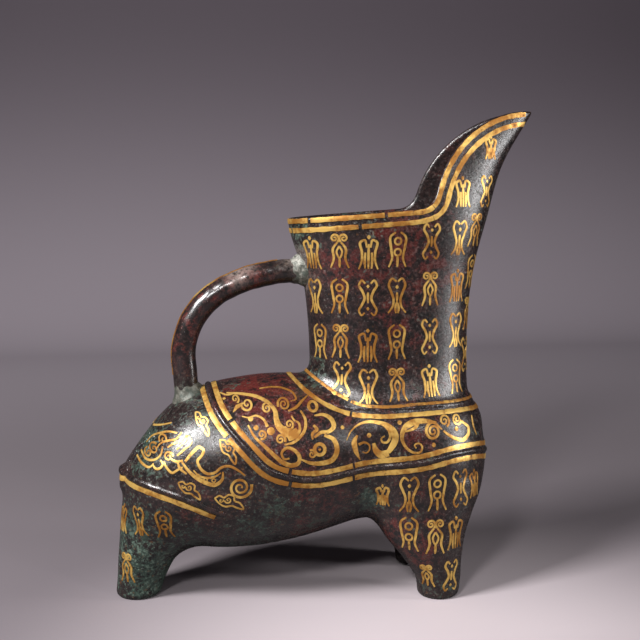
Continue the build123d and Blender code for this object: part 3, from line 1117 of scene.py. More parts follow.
def from_side(form: Form, line: Array, side: Side) -> Array:
    """Drop side-view points on to a form along Y.

    Args:
        form: The form.
        line: Points as X and Z.
        side: Side from which they are dropped.

    Returns:
        Points on the form. Those that miss it are not a number.
    """
    depths = np.arange(OUTERMOST, -0.5, -1.0)
    spots = np.stack([np.repeat(line[:, :1], len(depths), 1), np.tile(side.value * depths, (len(line), 1)),
                      np.repeat(line[:, 1:], len(depths), 1)], axis=2)
    inside = form(spots.reshape(-1, 3)).reshape(len(line), -1) < 0
    first = inside.argmax(axis=1)
    found = np.stack([line[:, 0], side.value * depths[first], line[:, 1]], axis=1)
    outer = np.full(len(line), 1.0)
    inner = np.zeros(len(line))
    for _ in range(HALVINGS):
        middle = (outer + inner) / 2
        trial = found + np.outer(middle, (0.0, side.value, 0.0))
        deep = form(trial) < 0
        inner = np.where(deep, middle, inner)
        outer = np.where(deep, outer, middle)
    found[:, 1] += side.value * inner
    found[~inside.any(axis=1)] = np.nan
    return found


def even_steps(spots: Array, step: float) -> Array:
    """Resample a line in near-even steps.

    Args:
        spots: Points of the line in order.
        step: Wanted distance between points in millimetres.

    Returns:
        The resampled points, with the same ends.
    """
    gaps = np.linalg.norm(np.diff(spots, axis=0), axis=1)
    run = np.concatenate([[0.0], np.cumsum(gaps)])
    stations = np.linspace(0.0, run[-1], max(3, int(run[-1] / step) + 1))
    return np.stack([np.interp(stations, run, column) for column in spots.T], axis=1)


@dataclass(frozen=True)
class Stroke:
    """One line of inlay drawn in a plane: a few points and the half widths spread along it."""

    points: Sequence[Point]
    halves: Sequence[float]

    def line(self, step: float = 0.55) -> tuple[Array, Array]:
        """Smooth line through the points.

        Args:
            step: Wanted distance between samples in millimetres.

        Returns:
            Samples as points, and their half widths.
        """
        fixed = np.array(self.points, float)
        run = np.concatenate([[0.0], np.cumsum(np.linalg.norm(np.diff(fixed, axis=0), axis=1))])
        stations = np.linspace(0.0, run[-1], max(4, int(run[-1] / step) + 1))
        if len(fixed) > 2:
            curve = Rows([(s, *p) for s, p in zip(run, fixed)])
            samples = np.stack(curve.at(stations), axis=1)
        else:
            samples = np.stack([np.interp(stations, run, column) for column in fixed.T], axis=1)
        shares = np.linspace(0.0, 1.0, len(self.halves))
        return samples, np.interp(stations / run[-1], shares, self.halves)

    def moved(self, shift: Point, scale: float = 1.0, turn: float = 0.0) -> "Stroke":
        """Copy of the stroke, scaled, turned by degrees and then shifted.

        Args:
            shift: Move along both axes in millimetres.
            scale: Size against the first stroke.
            turn: Turn in degrees.

        Returns:
            The copy, with the same half widths.
        """
        cos, sin = math.cos(math.radians(turn)) * scale, math.sin(math.radians(turn)) * scale
        spots = tuple((shift[0] + cos * u - sin * v, shift[1] + sin * u + cos * v) for u, v in self.points)
        return Stroke(spots, self.halves)


def dot(x: float, z: float, radius: float) -> Stroke:
    """Round spot of gold."""
    shares = [math.sqrt(max(0.0, 1 - (n / 5 - 1) ** 2)) * radius + 0.02 for n in range(11)]
    return Stroke(((x - radius, z), (x + radius, z)), shares)


def ring(x: float, z: float, radius: float, half: float) -> Stroke:
    """Closed ring of gold."""
    turns = [math.tau * n / 20 for n in range(21)]
    return Stroke([(x + radius * math.cos(t), z + radius * math.sin(t)) for t in turns], (half, half))


def curl(x: float, z: float, radius: float, turns: float, start: float, half: float = 0.5) -> Stroke:
    """Spiral that winds in from its outer end.

    Args:
        x: Centre along the first axis.
        z: Centre along the second axis.
        radius: Outer radius in millimetres.
        turns: Number of turns, negative for clockwise.
        start: Direction of the outer end in degrees.
        half: Half width at the outer end.

    Returns:
        The stroke.
    """
    count = max(8, int(abs(turns) * 14))
    spots = []
    for n in range(count + 1):
        share = n / count
        angle = math.radians(start) + math.tau * turns * share
        reach = radius * (1 - CURL_CLOSE * share)
        spots.append((x + reach * math.cos(angle), z + reach * math.sin(angle)))
    return Stroke(spots, (half, half * 0.9, half * 0.6))


def mirrored(strokes: Sequence[Stroke]) -> list[Stroke]:
    """The strokes and their images across the upright middle line."""
    return [*strokes, *(Stroke([(-u, v) for u, v in s.points], s.halves) for s in strokes)]


FINE = (0.48, 0.68, 0.64, 0.40)


class Motif(Enum):
    """Small upright scroll ornaments about 10 mm wide and 20 mm high, each the same left and right."""

    PLUMES = 0
    VOLUTES = 1
    HEARTS = 2
    SCROLLS = 3
    KNOT = 4

    def strokes(self) -> list[Stroke]:
        """Lines of the ornament about its middle.

        Returns:
            The strokes.
        """
        if self is Motif.PLUMES:
            return [Stroke(((0, 4.2), (0, -9.8)), FINE), dot(0, 8.0, 1.1),
                    *mirrored([Stroke(((1.0, 2.2), (2.4, 6.4), (4.5, 5.4), (3.7, -0.6), (3.9, -6.0),
                                       (5.4, -10)), FINE),
                               Stroke(((1.8, -0.6), (2.1, -5.4), (1.8, -9.6)), FINE)])]
        if self is Motif.VOLUTES:
            return [Stroke(((0, 2.4), (1.6, -1.0), (0, -4.4), (-1.6, -1.0), (0, 2.4)), (0.5, 0.5)),
                    Stroke(((0, -4.4), (0, -9.8)), FINE),
                    *mirrored([curl(2.6, 6.8, 2.6, -1.6, 230, 0.6),
                               Stroke(((1.0, 4.6), (3.6, 1.0), (3.3, -4.6), (5.2, -10)), FINE)])]
        if self is Motif.HEARTS:
            return [dot(0, 5.0, 1.0), Stroke(((0, 2.0), (0, -3.4)), FINE),
                    *mirrored([Stroke(((0.4, 8.0), (2.8, 9.8), (4.8, 6.6), (3.4, 2.2), (2.0, -2.0),
                                       (2.6, -6.0), (5.2, -9.6)),
                                      FINE),
                               Stroke(((0.0, -3.4), (1.0, -6.4), (0.6, -9.8)), FINE)])]
        if self is Motif.SCROLLS:
            return [Stroke(((0, 3.0), (0, -3.0)), FINE), dot(0, 6.4, 0.9), dot(0, -6.2, 0.9),
                    *mirrored([Stroke(((1.6, 8.0), (3.4, 9.8), (5.0, 7.2), (3.0, 3.4), (1.9, -0.4),
                                       (3.4, -4.0), (5.0, -7.2), (3.4, -9.9), (1.8, -8.4)), FINE)])]
        return [ring(0, 4.6, 1.9, 0.52), ring(0, -1.6, 1.9, 0.52), Stroke(((0, -3.6), (0, -9.8)), FINE),
                *mirrored([Stroke(((1.4, 9.6), (4.2, 7.4), (3.9, 0.4), (3.2, -5.0), (5.0, -10)), FINE)])]


def cloud(x: float, z: float, length: float, tilt: float) -> list[Stroke]:
    """Small drifting cloud with two curls.

    Args:
        x: Middle along X.
        z: Middle along Z.
        length: Length in millimetres.
        tilt: Turn of its long axis in degrees.

    Returns:
        The strokes.
    """
    thin = (0.40, 0.46, 0.46, 0.40)
    lines = [Stroke(((-0.5, 0.02), (-0.37, 0.15), (-0.22, 0.12), (-0.10, 0.25), (0.08, 0.25), (0.16, 0.09),
                     (0.32, 0.07), (0.52, -0.13), (0.30, -0.13), (0.12, -0.10), (-0.08, -0.18),
                     (-0.30, -0.12), (-0.5, 0.02)), thin),
             curl(-0.06, 0.07, 0.12, 1.3, 200, 0.42), curl(-0.28, 0.0, 0.08, -1.1, 40, 0.36)]
    return [line.moved((x, z), length, tilt) for line in lines]


class RibbonTree:
    """Geometry nodes that sweep lines with widths and up directions into thin closed ribbons."""

    inputs = (("Geometry", "NodeSocketGeometry"), ("Thickness", "NodeSocketFloat"),
              ("Sink", "NodeSocketFloat"), ("Crown", "NodeSocketFloat"), ("Profile Points", "NodeSocketInt"),
              ("Material", "NodeSocketMaterial"))

    def __init__(self) -> None:
        """Build the tree."""
        self.tree = bpy.data.node_groups.new("ribbon_sweep", "GeometryNodeTree")
        for name, kind in self.inputs:
            self.tree.interface.new_socket(name, in_out="INPUT", socket_type=kind)
        self.tree.interface.new_socket("Geometry", in_out="OUTPUT", socket_type="NodeSocketGeometry")
        given = self.node("NodeGroupInput")
        up = self.named("up", "FLOAT_VECTOR")
        half = self.named("half", "FLOAT")
        line = self.node("GeometryNodeMeshToCurve", {}, {"Mesh": given["Geometry"]})["Curve"]
        line = self.node("GeometryNodeSetCurveNormal", {"mode": "FREE"},
                         {"Curve": line, "Normal": up})["Curve"]
        ribbon = self.node("GeometryNodeCurveToMesh", {}, {
            "Curve": line, "Profile Curve": self.profile(given), "Scale": half})["Mesh"]
        down = self.scaled(up, self.sum("MULTIPLY", given["Sink"], -1.0))
        ribbon = self.node("GeometryNodeSetPosition", {}, {"Geometry": ribbon, "Offset": down})["Geometry"]
        raised = self.node("GeometryNodeExtrudeMesh", {"mode": "FACES"}, {
            "Mesh": ribbon, "Offset": up, "Offset Scale": given["Thickness"], "Individual": False})["Mesh"]
        under = self.node("GeometryNodeFlipFaces", {}, {"Mesh": ribbon})["Mesh"]
        both = self.node("GeometryNodeJoinGeometry")
        for part in (under, raised):
            self.tree.links.new(part, both["Geometry"].node.inputs["Geometry"])
        closed = self.node("GeometryNodeMergeByDistance", {},
                           {"Geometry": both["Geometry"], "Distance": WELD})["Geometry"]
        smooth = self.node("GeometryNodeSetShadeSmooth", {},
                           {"Geometry": closed, "Shade Smooth": True})["Geometry"]
        steep = self.sum("GREATER_THAN", self.node("GeometryNodeInputMeshEdgeAngle")["Unsigned Angle"],
                         CRISP_ANGLE)
        crisp = self.node("GeometryNodeSetShadeSmooth", {"domain": "EDGE"}, {
            "Geometry": smooth, "Selection": steep, "Shade Smooth": False})["Geometry"]
        plain = self.node("GeometryNodeRealizeInstances", {}, {"Geometry": crisp})["Geometry"]
        dressed = self.node("GeometryNodeSetMaterial", {},
                            {"Geometry": plain, "Material": given["Material"]})["Geometry"]
        self.node("NodeGroupOutput", {}, {"Geometry": dressed})

    def node(self, kind: str, settings: dict[str, Any] | None = None,
             inputs: dict[str, Any] | None = None) -> bpy.types.bpy_prop_collection:
        """Make any node.

        Args:
            kind: Node type.
            settings: Properties to set on the node.
            inputs: Socket names with a value or an output socket each.

        Returns:
            The outputs of the node.
        """
        made = self.tree.nodes.new(kind)
        for key, value in (settings or {}).items():
            setattr(made, key, value)
        for key, value in (inputs or {}).items():
            socket = next(s for s in made.inputs if key in (s.identifier, s.name) and s.enabled)
            if isinstance(value, bpy.types.NodeSocket):
                self.tree.links.new(value, socket)
            else:
                socket.default_value = value
        return made.outputs

    def named(self, name: str, kind: str) -> bpy.types.NodeSocket:
        """Attribute of the line by name."""
        return self.node("GeometryNodeInputNamedAttribute", {"data_type": kind}, {"Name": name})["Attribute"]

    def sum(self, operation: str, first: Any, second: Any) -> bpy.types.NodeSocket:
        """One Math node."""
        return self.node("ShaderNodeMath", {"operation": operation},
                         {"Value": first, "Value_001": second})["Value"]

    def scaled(self, vector: Any, scale: Any) -> bpy.types.NodeSocket:
        """A vector times a number."""
        return self.node("ShaderNodeVectorMath", {"operation": "SCALE"},
                         {"Vector": vector, "Scale": scale})["Vector"]

    def profile(self, given: bpy.types.bpy_prop_collection) -> bpy.types.NodeSocket:
        """Cross line from -1 to 1, raised in the middle by the crown.

        Args:
            given: Inputs of the tree.

        Returns:
            The cross line.
        """
        across = self.node("GeometryNodeCurvePrimitiveLine", {},
                           {"Start": (0, -1, 0), "End": (0, 1, 0)})["Curve"]
        split = self.node("GeometryNodeResampleCurve", {},
                          {"Curve": across, "Count": given["Profile Points"]})["Curve"]
        place = self.node("GeometryNodeInputPosition")["Position"]
        y = self.node("ShaderNodeSeparateXYZ", {}, {"Vector": place})["Y"]
        rise = self.sum("MULTIPLY", self.sum("SUBTRACT", 1.0, self.sum("MULTIPLY", y, y)), given["Crown"])
        lift = self.node("ShaderNodeCombineXYZ", {}, {"X": rise})["Vector"]
        return self.node("GeometryNodeSetPosition", {}, {"Geometry": split, "Offset": lift})["Geometry"]


@dataclass
class Ribbons:
    """Collects lines on a surface and sweeps them into one piece."""

    tree: RibbonTree
    finish: bpy.types.Material
    room: Array
    slot: Slot = Slot.GOLD
    thickness: float = 0.45
    sink: float = 0.28
    crown: float = 0.06
    profile_points: int = 3

    def sweep(self, name: str, lines: Sequence[Line], *nodes: str) -> bpy.types.Object:
        """Sweep lines into a piece and hang it on the frame.

        Args:
            name: Name of the piece.
            lines: Points, up directions and half widths of each line, in millimetres.
            *nodes: CAD nodes that the piece stands for.

        Returns:
            The piece.
        """
        spots = np.concatenate([line[0] for line in lines])
        ends = np.cumsum([len(line[0]) for line in lines])
        starts = np.concatenate([[0], ends[:-1]])
        edges = [(n, n + 1) for a, b in zip(starts, ends) for n in range(a, b - 1)]
        mesh = bpy.data.meshes.new(f"{name}_lines")
        mesh.from_pydata((spots * MM).tolist(), edges, [])
        ups = np.concatenate([line[1] for line in lines])
        mesh.attributes.new("up", "FLOAT_VECTOR", "POINT").data.foreach_set("vector", ups.ravel())
        halves = np.concatenate([line[2] for line in lines]) * MM
        mesh.attributes.new("half", "FLOAT", "POINT").data.foreach_set("value", halves)
        draft = bpy.data.objects.new(f"{name}_draft", mesh)
        bpy.context.scene.collection.objects.link(draft)
        modifier = draft.modifiers.new("ribbon", "NODES")
        modifier.node_group = self.tree.tree
        given = {"Thickness": self.thickness * MM, "Sink": self.sink * MM, "Crown": self.crown,
                 "Profile Points": self.profile_points, "Material": self.finish}
        for item in self.tree.tree.interface.items_tree:
            if item.in_out == "INPUT" and item.name in given:
                modifier[item.identifier] = given[item.name]
        scene_now = bpy.context.evaluated_depsgraph_get()
        swept = bpy.data.meshes.new_from_object(draft.evaluated_get(scene_now))
        bpy.data.objects.remove(draft)
        corners = np.empty(len(swept.vertices) * 3)
        swept.vertices.foreach_get("co", corners)
        held = np.clip(corners.reshape(-1, 3), self.room[0], self.room[1])
        swept.vertices.foreach_set("co", held.ravel())
        swept.name = name
        piece = bpy.data.objects.new(name, swept)
        bpy.context.scene.collection.objects.link(piece)
        return enlist(piece, self.slot, *nodes)


@dataclass
class Drawing:
    """Lays side-view strokes and placed ornaments on the vessel's skin."""

    form: Form

    def laid(self, spots: Array, halves: Array) -> Line:
        """Points settled on the skin, with up directions and half widths."""
        settled = settle(self.form, spots)
        return settled, slope_of(self.form, settled), halves

    def dropped(self, strokes: Sequence[Stroke], side: Side) -> list[Line]:
        """Drop strokes on to one side.

        Args:
            strokes: Strokes drawn in X and Z.
            side: Side of the vessel.

        Returns:
            Lines for a sweep.
        """
        lines = []
        for stroke in strokes:
            flat, halves = stroke.line()
            spots = from_side(self.form, flat, side)
            hit = ~np.isnan(spots[:, 0])
            if hit.sum() >= 4:
                lines.append(self.laid(spots[hit], halves[hit]))
        return lines

    def placed(self, strokes: Sequence[Stroke], anchor: Array) -> list[Line]:
        """Lay upright strokes round a point of the skin.

        Args:
            strokes: Strokes drawn about their own middle.
            anchor: Point on the skin.

        Returns:
            Lines for a sweep.
        """
        out = slope_of(self.form, anchor[None, :])[0]
        across = np.cross((0.0, 0.0, 1.0), out)
        across /= np.linalg.norm(across)
        rise = np.cross(out, across)
        lines = []
        for stroke in strokes:
            flat, halves = stroke.line()
            lines.append(self.laid(anchor + flat[:, :1] * across + flat[:, 1:] * rise, halves))
        return lines

    def wrapped(self, path: Sequence[Point], offset: float, low: float, high: float, rear: bool,
                step: float = 0.9) -> Array:
        """Line that runs from one side round the end of the vessel to the other side.

        Args:
            path: Points in the side view, from the back forwards.
            offset: Shift to the upper side of the path in millimetres.
            low: Lowest X that is kept.
            high: Highest X that is kept.
            rear: True where the line runs round the rear end.
            step: Distance between points in millimetres.

        Returns:
            Points on the skin from the left side to the right side.
        """
        flat, _ = Stroke(path, (1.0, 1.0)).line(0.08)
        heading = np.gradient(flat, axis=0)
        heading /= np.linalg.norm(heading, axis=1)[:, None]
        flat = flat + offset * np.stack([-heading[:, 1], heading[:, 0]], axis=1)
        flat = flat[(flat[:, 0] >= low) & (flat[:, 0] <= high)]
        return self.round_end(flat[::-1] if rear else flat, step)

    def round_end(self, flat: Array, step: float = 0.9) -> Array:
        """Side-view points dropped on the right side and run round the end to the left side.

        Args:
            flat: Points as X and Z, from the open end to the closed end.
            step: Distance between points in millimetres.

        Returns:
            Points on the skin.
        """
        spots = from_side(self.form, flat, Side.RIGHT)
        spots = spots[~np.isnan(spots[:, 0])]
        whole = np.concatenate([spots, spots[::-1] * (1, -1, 1)])
        return settle(self.form, even_steps(whole, step))


@dataclass
class GoldStrips:
    """Border strips of gold and the cast ribs between them."""

    vessel: Vessel
    castings: Castings
    handle: Handle
    gold: Ribbons
    tired: Ribbons
    ribs: Ribbons
    belt: Sequence[Point] = ((-67, 124), (-62, 107.4), (-48.4, 89.6), (-34, 76), (-18.5, 71.8), (14, 74.8),
                             (44, 77.6), (66, 80.4), (80, 79.4), (100, 71))
    rump: Sequence[Point] = ((-125, 70), (-105.8, 69.6), (-86.3, 65.2), (-58, 53.4))
    neck_foot: Sequence[Point] = ((-24, 124), (-12, 112.6), (-2, 106.6), (8, 103.0), (20, 101.8), (45, 102.0),
                                  (75, 101.4), (100, 98.5))
    neck_fine: Sequence[Point] = ((-15, 125), (-4, 116.8), (6, 110.6), (14, 107.4), (24, 106.4), (45, 106.8),
                                  (67, 106.4), (100, 105))
    belt_break: Point = (7.9, 9.1)
    beside_rib: float = 3.3
    belt_half: float = 1.3
    fine_half: float = 0.8
    rim_half: float = 1.3
    rim_drops: Point = (1.8, 6.8)
    rim_end: float = 54.0
    rump_end: float = -63.5
    spout_end: float = 111.0
    handle_half: float = 0.9
    handle_foot: float = 121.0
    handle_head: float = -25.0
    rib_half: float = 1.6
    rib_ends: Point = (9.2, 7.8)
    rump_rib_end: float = -58.5
    far: float = 200.0
    swells: Point = (0.07, 0.05)
    swell_rates: Row = (0.9, 0.5, 1.7)
    rim_run: float = 50.0
    spout_turns: Point = (176.0, 88.0)
    corner_round: Point = (6.0, 1.2)
    corner_gap: float = 0.15
    edge_step: float = 0.15
    strip_step: float = 0.9
    first_length: Point = (26, 3)
    least_length: int = 30
    last_length: int = 70
    length_stride: int = 37
    length_spread: int = 29

    def halves(self, spots: Array, half: float) -> Array:
        """Half widths along a strip, uneven as hammered gold is.

        Args:
            spots: Points of the strip.
            half: Mean half width in millimetres.

        Returns:
            One half width for each point.
        """
        slow, tilt, fast = self.swell_rates
        long_swell = self.swells[0] * np.sin(spots[:, 0] * slow + spots[:, 2] * tilt)
        return half * (1 + long_swell + self.swells[1] * np.sin(spots[:, 1] * fast))

    def lay(self, ribbons: Ribbons, name: str, paths: Sequence[Array], half: float, *nodes: str) -> None:
        """Sweep lines that lie on the skin into one piece.

        Args:
            ribbons: Kind of ribbon.
            name: Name of the piece.
            paths: Points of each line on the skin.
            half: Mean half width in millimetres.
            *nodes: CAD nodes that the piece stands for.
        """
        form = self.vessel.skin
        lines = [(spots, slope_of(form, spots), self.halves(spots, half)) for spots in paths]
        ribbons.sweep(name, lines, *nodes)

    def edge_path(self, drop: float) -> Array:
        """Side view of a line below the mouth's edge, from the back of the rim to the spout's tip.

        Args:
            drop: Depth below the edge in millimetres.

        Returns:
            Points as X and Z, with the corner between rim and spout rounded.
        """
        back, front = self.castings.rim_back, self.castings.rim_front
        centre, radius = self.castings.spout_centre, self.castings.spout_radius - drop
        along = np.linspace(back[0], self.rim_run, 400)
        height = np.interp(along, (back[0], front[0]), (back[1], front[1]))
        rim = np.stack([along, 0 * along, height - drop], axis=1)
        turns = np.radians(np.linspace(*self.spout_turns, 500))
        across, up = centre[0] + radius * np.cos(turns), centre[1] + radius * np.sin(turns)
        arc = np.stack([across, 0 * turns, up], axis=1)
        line = settle(lambda p: self.castings.mouth(p) + drop, np.concatenate([rim, arc]), 8, 2.0)
        flat = even_steps(line, self.edge_step)[:, (0, 2)]
        reach = int((self.corner_round[0] + self.corner_round[1] * drop) / self.edge_step / 2)
        padded = np.pad(flat, ((reach, reach), (0, 0)), "edge")
        share = np.full(2 * reach + 1, 1 / (2 * reach + 1))
        return np.stack([np.convolve(column, share, "valid") for column in padded.T], axis=1)

    def spout_path(self, flat: Array, side: Side) -> Array:
        """The spout's part of an edge line, laid on one side.

        Args:
            flat: The edge line as X and Z.
            side: Side of the vessel.

        Returns:
            Points on the skin.
        """
        kept = (flat[:, 0] > self.rim_end + self.corner_gap) & (flat[:, 0] < self.spout_end)
        spots = from_side(self.vessel.skin, flat[kept], side)
        return settle(self.vessel.skin, even_steps(spots[~np.isnan(spots[:, 0])], self.strip_step))

    def lengths(self, spots: Array, first: int = 0) -> list[Array]:
        """A line cut into uneven lengths with small gaps, as strips of leaf are laid.

        Args:
            spots: Points of the line.
            first: Number of points in the first length, 0 for no fixed number.

        Returns:
            Points of each length.
        """
        marks = [0, first] if first else [0]
        while len(spots) - marks[-1] > self.last_length:
            extra = (len(marks) * self.length_stride) % self.length_spread
            marks.append(marks[-1] + self.least_length + extra)
        marks.append(len(spots))
        return [spots[a:b - 1] for a, b in zip(marks[:-1], marks[1:])]

    def build(self) -> None:
        """Lay every strip and rib."""
        draw = Drawing(self.vessel.skin)
        gap, reach = self.belt_break, self.far
        for sign, rear_node, front_node in ((1, "saddle_strip_inner", "belt_strip_upper"),
                                            (-1, "saddle_strip_outer", "belt_strip_lower")):
            shift = sign * self.beside_rib
            saddle = self.lengths(draw.wrapped(self.belt, shift, -reach, gap[0], True))
            self.lay(self.gold, f"{rear_node}_gold", saddle, self.belt_half, rear_node)
            self.lay(self.gold, f"{front_node}_gold", [draw.wrapped(self.belt, shift, gap[1], reach, False)],
                     self.belt_half, front_node)
        rump = draw.wrapped(self.rump, -self.beside_rib, -reach, self.rump_end, True)
        self.lay(self.gold, "rump_strip_gold", [rump], self.belt_half, "rump_strip")
        for name, path, half, ribbons in (("neck_foot_strip", self.neck_foot, self.belt_half, self.gold),
                                          ("neck_fine_strip", self.neck_fine, self.fine_half, self.tired)):
            self.lay(ribbons, f"{name}_rear_gold", [draw.wrapped(path, 0.0, -reach, gap[0], True)], half,
                     f"{name}_rear")
            self.lay(ribbons, f"{name}_front_gold", [draw.wrapped(path, 0.0, gap[1], reach, False)], half,
                     f"{name}_front")
        for drop, rim_node, spout_node in zip(self.rim_drops, ("rim_strip_upper", "rim_strip_lower"),
                                              ("spout_strips_outer", "spout_strips_inner")):
            flat = self.edge_path(drop)
            rim = draw.round_end(flat[flat[:, 0] < self.rim_end][::-1])
            first = int(self.first_length[0] + self.first_length[1] * drop)
            self.lay(self.gold, f"{rim_node}_gold", self.lengths(rim, first), self.rim_half, rim_node)
            edges = [self.spout_path(flat, side) for side in Side]
            self.lay(self.gold, f"{spout_node}_gold", edges, self.rim_half, spout_node)
        self.handle_strip()
        for name, path, low, high, rear in (("belt_rib_rear", self.belt, -reach, self.rib_ends[0], True),
                                            ("belt_rib_front", self.belt, self.rib_ends[1], reach, False),
                                            ("rump_rib", self.rump, -reach, self.rump_rib_end, True)):
            self.lay(self.ribs, name, [draw.wrapped(path, 0.0, low, high, rear)], self.rib_half)

    def handle_strip(self) -> None:
        """Gold line along the outer spine of the handle."""
        line = even_steps(self.handle.spine, self.strip_step)
        heading = np.gradient(line, axis=0)
        heading /= np.linalg.norm(heading, axis=1)[:, None]
        out = np.stack([-heading[:, 1], heading[:, 0]], axis=1)
        edge = line + out * self.handle.half_thick
        kept = (line[:, 1] > self.handle_foot) & (line[:, 0] < self.handle_head)
        spots = np.stack([edge[kept, 0], np.zeros(kept.sum()), edge[kept, 1]], axis=1)
        ups = np.stack([out[kept, 0], np.zeros(kept.sum()), out[kept, 1]], axis=1)
        spots = settle(self.handle.bar, spots)
        halves = self.halves(spots, self.handle_half)
        self.tired.sweep("handle_strip_gold", [(spots, ups, halves)], "handle_strip")


